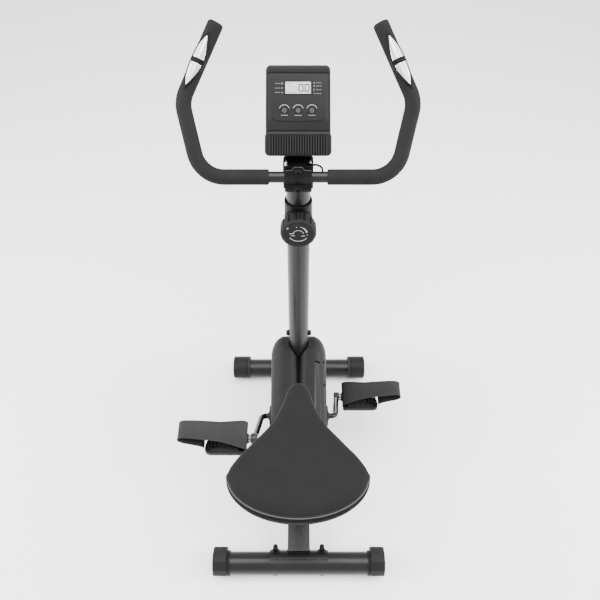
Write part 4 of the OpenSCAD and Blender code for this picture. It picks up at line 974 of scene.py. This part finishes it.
def zero_shape(x, y, h):
    """A seven-segment zero: every segment but the middle one."""
    w, t = h * 0.6, h * 0.14
    segments = (((0, h), (w, h)), ((w, h / 2), (w, h)), ((w, 0), (w, h / 2)), ((0, 0), (w, 0)),
                ((0, 0), (0, h / 2)), ((0, h / 2), (0, h)))
    return [stroke([(x + p[0], y + p[1]) for p in ends], t, 0.05, 0.06) for ends in segments]


ICON_LINE = 0.75
ICONS = {
    "clock": [(arc_points((0, 0), 3, 0, 360, 24), ICON_LINE), ([(0, 1.8), (0, 0), (1.4, 0)], 0.6)],
    "gauge": [(arc_points((0, -1), 3.2, -10, 190, 18), ICON_LINE), ([(0, -1), (1.6, 0.9)], 0.7)],
    "road": [([(-3, -2.6), (-1.1, 2.6)], ICON_LINE), ([(3, -2.6), (1.1, 2.6)], ICON_LINE),
             ([(0, -2.4), (0, -0.8)], 0.6), ([(0, 0.4), (0, 1.8)], 0.6)],
    "flame": [([(0, 3.2), (1.9, 0.6), (1.8, -1.4), (0, -2.8), (-1.8, -1.4), (-1.5, 0.4),
                (-0.3, -0.2), (0, 3.0)], ICON_LINE)],
    "heart": [([(0, -3)] + arc_points((1.4, 0.8), 1.5, -20, 160, 10)
               + arc_points((-1.4, 0.8), 1.5, 20, 200, 10) + [(0, -3)], ICON_LINE)],
    "loop": [(arc_points((0, 0), 2.8, 40, 320, 20), ICON_LINE),
             ([(0.8, 2.4), (2.6, 1.9), (2.4, 3.6)], 0.7)],
    "pulse": [([(-3, 0), (-1.4, 0), (-0.6, 2.4), (0.6, -2.2), (1.4, 0), (3, 0)], 0.7)],
}
ICON_PLACES = (("clock", -30, 132.7), ("gauge", -30, 124.6), ("road", -30, 116.9),
               ("flame", 30, 133.9), ("heart", 30, 128.2), ("loop", 30, 121.6), ("pulse", 30, 115.1))


def tapered(shape):
    """The console is a little narrower at its top."""
    return [(p[0] * mix(1.017, 0.966, p[1] / FACE_H), p[1], p[2]) for p in shape[0]], shape[1]


def make_console_front():
    outline = rounded_rect(FACE_W, FACE_H, 9)
    shell = slab(outline, [(2.5, -19.6), (0.6, -20), (0, -19.2), (0, -3.2), (0.5, -1.5),
                           (1.6, -0.4), (3.2, 0)])
    lip_outline = rounded_rect(FACE_W + 3, 45.5, 9)
    chin = slab(lip_outline, [(1.4, -19), (0.4, -18.4), (0, -17), (0, 0), (0.7, 1.8),
                              (2.2, 2.8), (3.6, 3)])
    rail = slab(rounded_rect(FACE_W - 14, 1.7, 0.8, bottom=40.8), [(0, 2.5), (0, 3.5), (0.4, 3.9)])
    ribs = [moved(slab(rounded_rect(2.5, 36, 1.2, bottom=3.4), [(0, 2.4), (0.1, 4.3), (0.6, 5)]),
                  shift(-53.9 + 4.9 * i)) for i in range(23)]
    piece("console_front_look", tapered(join(shell, chin, rail, *ribs)), "console_plastic", "frame",
          at=AT_CONSOLE, stands_for=["console_front"], sharp=40)
    # A near-black plate behind the ribs: painted shade in the grooves between them.
    backing = slab(rounded_rect(FACE_W - 13, 36.6, 1.5, bottom=3.1), [(0, 2.4), (0, 3.15)])
    piece("console_rib_groove_shade", backing, "console_dark", "frame", at=AT_CONSOLE)
    brow = slab(rounded_rect(FACE_W - 5, 10.6, 5, bottom=153),
                [(0.4, -0.4), (0, 0.3), (0.5, 1.1), (1.6, 1.5)])
    piece("console_brow", tapered(brow), "console_plastic", "frame", at=AT_CONSOLE)
    groove = slab(rounded_rect(FACE_W - 4, 1.6, 0.7, bottom=47.2), [(0, -0.4), (0, 0.12)])
    edge = slab(rounded_rect(FACE_W - 5, 1.2, 0.5, bottom=151), [(0, -0.4), (0, 0.14)])
    piece("console_shadow_lines", tapered(join(groove, edge)), "console_dark", "frame",
          at=AT_CONSOLE)
    lower = [(x, 64.5 + 2.5 * (x / 54) ** 2) for x in [-54 + 6 * i for i in range(19)]]
    right = [(57, 70), (57, 145), (56, 148), (53, 149.3)]
    panel = lower + right + [(-x, y) for x, y in reversed(right)]
    piece("console_overlay", tapered(slab(panel, [(0, -0.3), (0, 0.1), (0.4, 0.2)])),
          "console_plastic", "frame", at=AT_CONSOLE)
    # A dark line under the overlay's lower edge: a painted shadow.
    rim = ([(-50, 71), (-48.5, 68.5)] + [(x, y) for x, y in lower if abs(x) < 46]
           + [(48.5, 68.5), (50, 71)])
    piece("console_overlay_shadow_line", stroke(rim, 0.9, 0.3, 0.12), "console_dark", "frame", at=AT_CONSOLE)


def make_display():
    inner = rounded_rect(48, 21.4, 1.2, bottom=114.5)
    outer = rounded_rect(51, 24.4, 2, bottom=113)
    window = slab(inner, [(0, 0.2), (0, 0.5), (0.5, 0.75)])
    piece("display_window", window, "screen_glass", "frame", at=AT_CONSOLE)
    rings = ((outer, 0.4), (outer, 1.0), (inset(outer, 0.5), 1.35), (inset(inner, -0.3), 1.35),
             (inner, 0.9), (inner, 0.4))
    frame_shape = loft([[(x, y, z) for x, y in ring] for ring, z in rings], loop=True)
    piece("display_frame", frame_shape, "button_plastic", "frame", at=AT_CONSOLE)
    lines = [([(10.6, 118.6), (10.6, 120.4)], 1.6)]
    lines += [([(x, 116.6), (x + 2.6, 116.6)], 0.7) for x in (-20, -13, -6)]
    lines += [([(-20, 133), (-14, 133)], 0.7)]
    marks = join(*zero_shape(1.6, 119, 12), *zero_shape(13, 119, 12), strokes(lines, 0.05, 0.06))
    piece("display_digits", moved(marks, shift(z=0.72)), "screen_ink", "frame", at=AT_CONSOLE)
    icons, dashes = [], []
    for kind, x, y in ICON_PLACES:
        small = shift(x, y) @ Matrix.Diagonal((0.5, 0.5, 1, 1))
        icons.append(moved(strokes(ICONS[kind], 0.38, 0.12), small))
        dashes += [([(math.copysign(a, x), y), (math.copysign(b, x), y)], 0.9)
                   for a, b in ((33.6, 37), (37.8, 40.2), (41, 43.4))]
    piece("display_icons", join(*icons), "print_white", "frame", at=AT_CONSOLE)
    piece("display_notes", strokes(dashes, 0.38, 0.1), "print_grey", "frame", at=AT_CONSOLE)


BUTTON_SIGNS = {
    "left": [([(-2.6, -2.4), (-2.6, 2.4)], 1), ([(-1, -2.6), (3, 0), (-1, 2.6), (-1, -2.6)], 0.9)],
    "middle": [(arc_points((0, 0), 2.9, -30, 280, 18), 0.9), ([(0.6, -4.4), (0.6, -1.6)], 0.9)],
    "right": [([(-2.8, -1.6), (0, 2.2), (2.8, -1.6)], 1)],
}
BUTTON_GAP, BUTTON_Y, NOTE_Y = 26, 84.5, 75.7


def make_buttons():
    cap = lathe([(8.8, -2), (8.8, 0.36), (8.6, 0.42), (0.1, 0.42)], 48)
    ring = stroke(arc_points((0, 0), 3.3, 0, 360, 32), 0.6, 0, 0.1)
    arcs, dashes = [], []
    for x, name in ((-BUTTON_GAP, "left"), (0, "middle"), (BUTTON_GAP, "right")):
        body = f"button_{name}_body"
        piece(f"button_{name}_look", moved(cap, shift(x, BUTTON_Y)), "button_plastic", body,
              at=AT_CONSOLE, stands_for=[f"button_{name}"])
        sign = moved(strokes(BUTTON_SIGNS[name], 0, 0.1), Matrix.Diagonal((0.42, 0.42, 1, 1)))
        piece(f"button_{name}_sign", moved(join(sign, ring), shift(x, BUTTON_Y, 0.4)), "print_grey",
              body, at=AT_CONSOLE)
        arcs.append((arc_points((x, BUTTON_Y), 10.2, 22, 158, 20), 0.85))
        dashes += [([(x + a, NOTE_Y), (x + b, NOTE_Y)], 1.4)
                   for a, b in ((-6.4, -2.4), (-1.6, 2.2), (3, 6.4))]
    piece("button_marks", strokes(arcs, 0.38, 0.12), "print_white", "frame", at=AT_CONSOLE)
    piece("button_notes", strokes(dashes, 0.36, 0.1), "print_grey", "frame", at=AT_CONSOLE)


def make_console_back():
    outline = rounded_rect(FACE_W, FACE_H, 9)
    body = slab(outline, [(1.2, -20.3), (0.2, -20.6), (0, -21.6), (0.6, -33), (2.4, -37),
                          (5, -39.2), (8, -40)])
    # The vents are dark bars of painted shade standing for slots; the door is drawn in the same near
    # black.
    vents = [slab(rounded_rect(34, 2.2, 1, bottom=112 + 6 * i), [(0, -40.7), (0, -39.6)])
             for i in range(5)]
    door = slab(rounded_rect(40, 30, 3, bottom=8), [(0.6, -40.9), (0, -40.5), (0, -39.5)])
    piece("console_back_look", tapered(body), "console_plastic", "frame", at=AT_CONSOLE,
          stands_for=["console_back"], sharp=35)
    piece("console_back_details", join(*vents, door), "console_dark", "frame", at=AT_CONSOLE)
    screw = lathe([(0.1, -41.4), (2.6, -41.2), (3.6, -40.4), (3.6, -39.4)], 24)
    screws = [moved(screw, shift(x, y)) for x in (-50, 50) for y in (14, 150)]
    piece("console_back_screws", join(*screws), "black_fastener", "frame", at=AT_CONSOLE)


# ----------------------------------------------------------------------- seat post, saddle

SADDLE_BACK, SADDLE_WIDE, SADDLE_NOSE = REAR_Y / MM - 120, REAR_Y / MM - 37, REAR_Y / MM + 160
SADDLE_LOW, SADDLE_HALF = 712.0, 133.5
# Half widths at steps of 15 mm behind the nose, and the curve through them
SADDLE_SIDES = [20.5, 22.5, 26.5, 31.5, 37, 44, 53, 65, 79, 92.5, 106.5, 118, 127.5, 132.8, SADDLE_HALF]
SADDLE_CURVE = smooth_path([(min(15 * i + (1 if i else 0), 197), w, 0)
                            for i, w in enumerate(SADDLE_SIDES)], 6)


def saddle_half(y):
    """Half the saddle's width at y."""
    if y <= SADDLE_WIDE:
        t = (SADDLE_WIDE - y) / (SADDLE_WIDE - SADDLE_BACK)
        return SADDLE_HALF * math.sqrt(max(0, 1 - t * t))
    d = SADDLE_NOSE - y
    spans = zip(SADDLE_CURVE, SADDLE_CURVE[1:])
    a, b = next(((a, b) for a, b in spans if b.x >= d), SADDLE_CURVE[-2:])
    w = mix(a.y, b.y, (d - a.x) / (b.x - a.x))
    tip = max(0, 22 - d) / 22
    return w * math.sqrt(max(0, 1 - tip * tip))


def saddle_outline(steps=44):
    ys = [mix(SADDLE_BACK, SADDLE_NOSE, 0.5 - 0.5 * math.cos(math.pi * i / steps))
          for i in range(steps + 1)]
    right = [(saddle_half(y), y) for y in ys]
    return right[:-1] + [(0, SADDLE_NOSE)] + [(-x, y) for x, y in reversed(right[1:-1])]


def cushion_shape():
    outline = saddle_outline()
    levels = [(14, 711), (9, 711), (6.6, 712.6), (4, 717.5), (1.8, 724), (0.5, 731), (0, 738),
              (0.1, 742), (0.8, 745.3), (2.4, 748), (5.2, 751), (9.5, 754.4), (14, 757),
              (19, 759.2)]
    rings = [[(x, y, z) for x, y in inset(outline, d)] for d, z in levels]
    edge = rings[-1]
    for k, z in ((0.8, 760.8), (0.55, 762.1), (0.3, 762.8), (0.05, 763)):
        rings.append([(x * k, mix(min(max(y, SADDLE_WIDE + 5), SADDLE_NOSE - 45), y, k), z)
                      for x, y, _ in edge])
    return loft(rings)


def stuff_cushion(obj):
    """Inflates the cover a little over its foam, so that it pulls tight between its seams."""
    remesh = obj.modifiers.new("skin", "REMESH")
    remesh.mode, remesh.voxel_size, remesh.use_smooth_shade = "VOXEL", 0.005, True
    bpy.context.view_layer.objects.active = obj
    bpy.ops.object.modifier_apply(modifier="skin")
    rest = [v.co.copy() for v in obj.data.vertices]
    group = obj.vertex_groups.new(name="stapled")
    for v in obj.data.vertices:
        low = SADDLE_LOW * MM + 0.004
        if v.co.z < low:
            group.add([v.index], 1, "REPLACE")
        elif v.co.z < low + 0.01:
            group.add([v.index], 0.6, "REPLACE")
    cloth = obj.modifiers.new("cover", "CLOTH")
    cfg = cloth.settings
    cfg.quality, cfg.mass, cfg.air_damping = 6, 0.3, 2
    cfg.tension_stiffness = cfg.compression_stiffness = 25
    cfg.shear_stiffness, cfg.bending_stiffness = 10, 4
    cfg.use_pressure, cfg.uniform_pressure_force = True, 4
    cfg.effector_weights.gravity = 0
    cfg.vertex_group_mass = "stapled"
    cloth.point_cache.frame_start, cloth.point_cache.frame_end = 1, 20
    scene = bpy.context.scene
    for f in range(1, 21):
        scene.frame_set(f)
        bpy.context.view_layer.update()
    bpy.ops.object.modifier_apply(modifier="cover")
    for v, p in zip(obj.data.vertices, rest):
        step = v.co - p
        limit = 0.003
        v.co = p + (step * (limit / step.length) if step.length > limit else step)
    scene.frame_set(1)


def soften(obj, rounds):
    bm = bmesh.new()
    bm.from_mesh(obj.data)
    for _ in range(rounds):
        bmesh.ops.smooth_vert(bm, verts=bm.verts, factor=0.5,
                              use_axis_x=True, use_axis_y=True, use_axis_z=True)
    for f in bm.faces:
        f.smooth = True
    bm.to_mesh(obj.data)
    bm.free()


def make_saddle():
    cushion = piece("saddle_cushion_look", cushion_shape(), "saddle_vinyl", "seat",
                    stands_for=["saddle_cushion"], sharp=80)
    stuff_cushion(cushion)
    soften(cushion, 3)
    sub = cushion.modifiers.new("fine", "SUBSURF")
    sub.levels = sub.render_levels = 1
    bpy.context.view_layer.objects.active = cushion
    bpy.ops.object.modifier_apply(modifier="fine")
    make_saddle_seams(cushion)
    pan = slab(inset(saddle_outline(), 8.5), [(7, 701.8), (2.5, 702), (0.8, 703.5), (0, 706),
                                              (0, 711.5), (2, 712.2)])
    piece("saddle_base_look", pan, "saddle_shell", "seat", stands_for=["saddle_base"])


def on_cover(tree, x, y, z, normal):
    """The point of the cover met on the way in from outside at height z, and the way out there."""
    start = Vector((x + normal[0] * 60, y + normal[1] * 60, z)) * MM
    hit, out, _, _ = tree.ray_cast(start, Vector((-normal[0], -normal[1], 0)))
    return (hit / MM, out) if hit else (Vector((x, y, z)), Vector((normal[0], normal[1], 0)))


def make_saddle_seams(cushion):
    bm = bmesh.new()
    bm.from_mesh(cushion.data)
    tree = BVHTree.FromBMesh(bm)
    bm.free()
    outline = saddle_outline(90)
    rear, low = [], []
    for i, (x, y) in enumerate(outline):
        a, b = Vector(outline[i - 1]), Vector(outline[(i + 1) % len(outline)])
        t = (b - a).normalized()
        normal = (t.y, -t.x)
        if y < SADDLE_WIDE + 6:
            fade = min(1, max(0, (SADDLE_WIDE + 6 - y) / 22))
            p, out = on_cover(tree, x, y, 742 + 7 * fade, normal)
            rear.append((math.atan2(x, -(y - SADDLE_WIDE)), p + out * 0.5))
        p, out = on_cover(tree, x, y, 716.5, normal)
        low.append(p + out * 0.3)
    rear = [p for _, p in sorted(rear, key=lambda e: e[0])]
    piece("saddle_piping", sweep(rear, 1.0, 12, round_ends=2), "saddle_piping", "seat")
    rings = [[p + u * x + v * y for x, y in circle(1.3, 8)] for p, t, u, v in frames_along(low)]
    piece("saddle_hem", loft(rings, loop=True), "saddle_shell", "seat")
    stitches = [p + Vector((0, 0, 3.4)) + Vector((-p.x, SADDLE_WIDE - p.y, 0)).normalized() * 2.2
                for p in rear[2:-2]]
    dashes = []
    for a, after in zip(stitches, stitches[1:]):
        b = mix(a, after, 0.62)
        if (b - a).length > 0.8:
            mid = (a + b) / 2
            hit = tree.ray_cast(Vector((mid.x, mid.y, 800)) * MM, Vector((0, 0, -1)))[0]
            if hit:
                lift = hit / MM - mid
                dashes.append(sweep([a + lift, mid + lift + Vector((0, 0, 0.25)), b + lift], 0.34, 6))
    piece("saddle_stitches", join(*dashes), "stitching", "seat")


def make_seat_post():
    mouth = AT_SEAT @ shift(z=430)
    ring = ring_lathe([(19.1, -0.5), (26.6, -0.5), (27.4, 0.6), (27.2, 4), (25.6, 5.6), (20.4, 6.2),
                       (19.1, 5.6)])
    piece("seat_bushing_look", ring, "bushing_plastic", "frame", at=mouth,
          stands_for=["seat_bushing"])
    levels = [(10.5, 37.3, 0), (11, 38, 0), (11, 48, 0), (14, 50, 0), (19, 50.6, 0.6), (20, 52, 1),
              (20, 62.5, 1), (19, 65, 0.8), (16.5, 66, 0.2), (12, 65.2, 0), (0.1, 65, 0)]
    pin = AT_SEAT @ shift(z=395) @ TOWARDS_RIDER
    piece("seat_pin_look", grooved(levels, 14, 1.4, 2, 168), "cap_plastic", "pin", at=pin,
          stands_for=["seat_pin"], sharp=50)


# ----------------------------------------------------------------------------------- build


make_materials()
for side_name, side_sign in SIDES.items():
    make_rear_cap(side_sign, side_name)
    make_front_cap(side_sign, side_name)
    make_transport_wheel(side_name)
make_floor_bolts()
make_welds()
make_housing()
make_crank()
make_pedals()
make_tension_base()
make_knob()
make_clamp()
make_pulse_cable()
make_handlebar()
make_console_front()
make_display()
make_buttons()
make_console_back()
make_saddle()
make_seat_post()
make_camera()
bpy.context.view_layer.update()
make_studio()
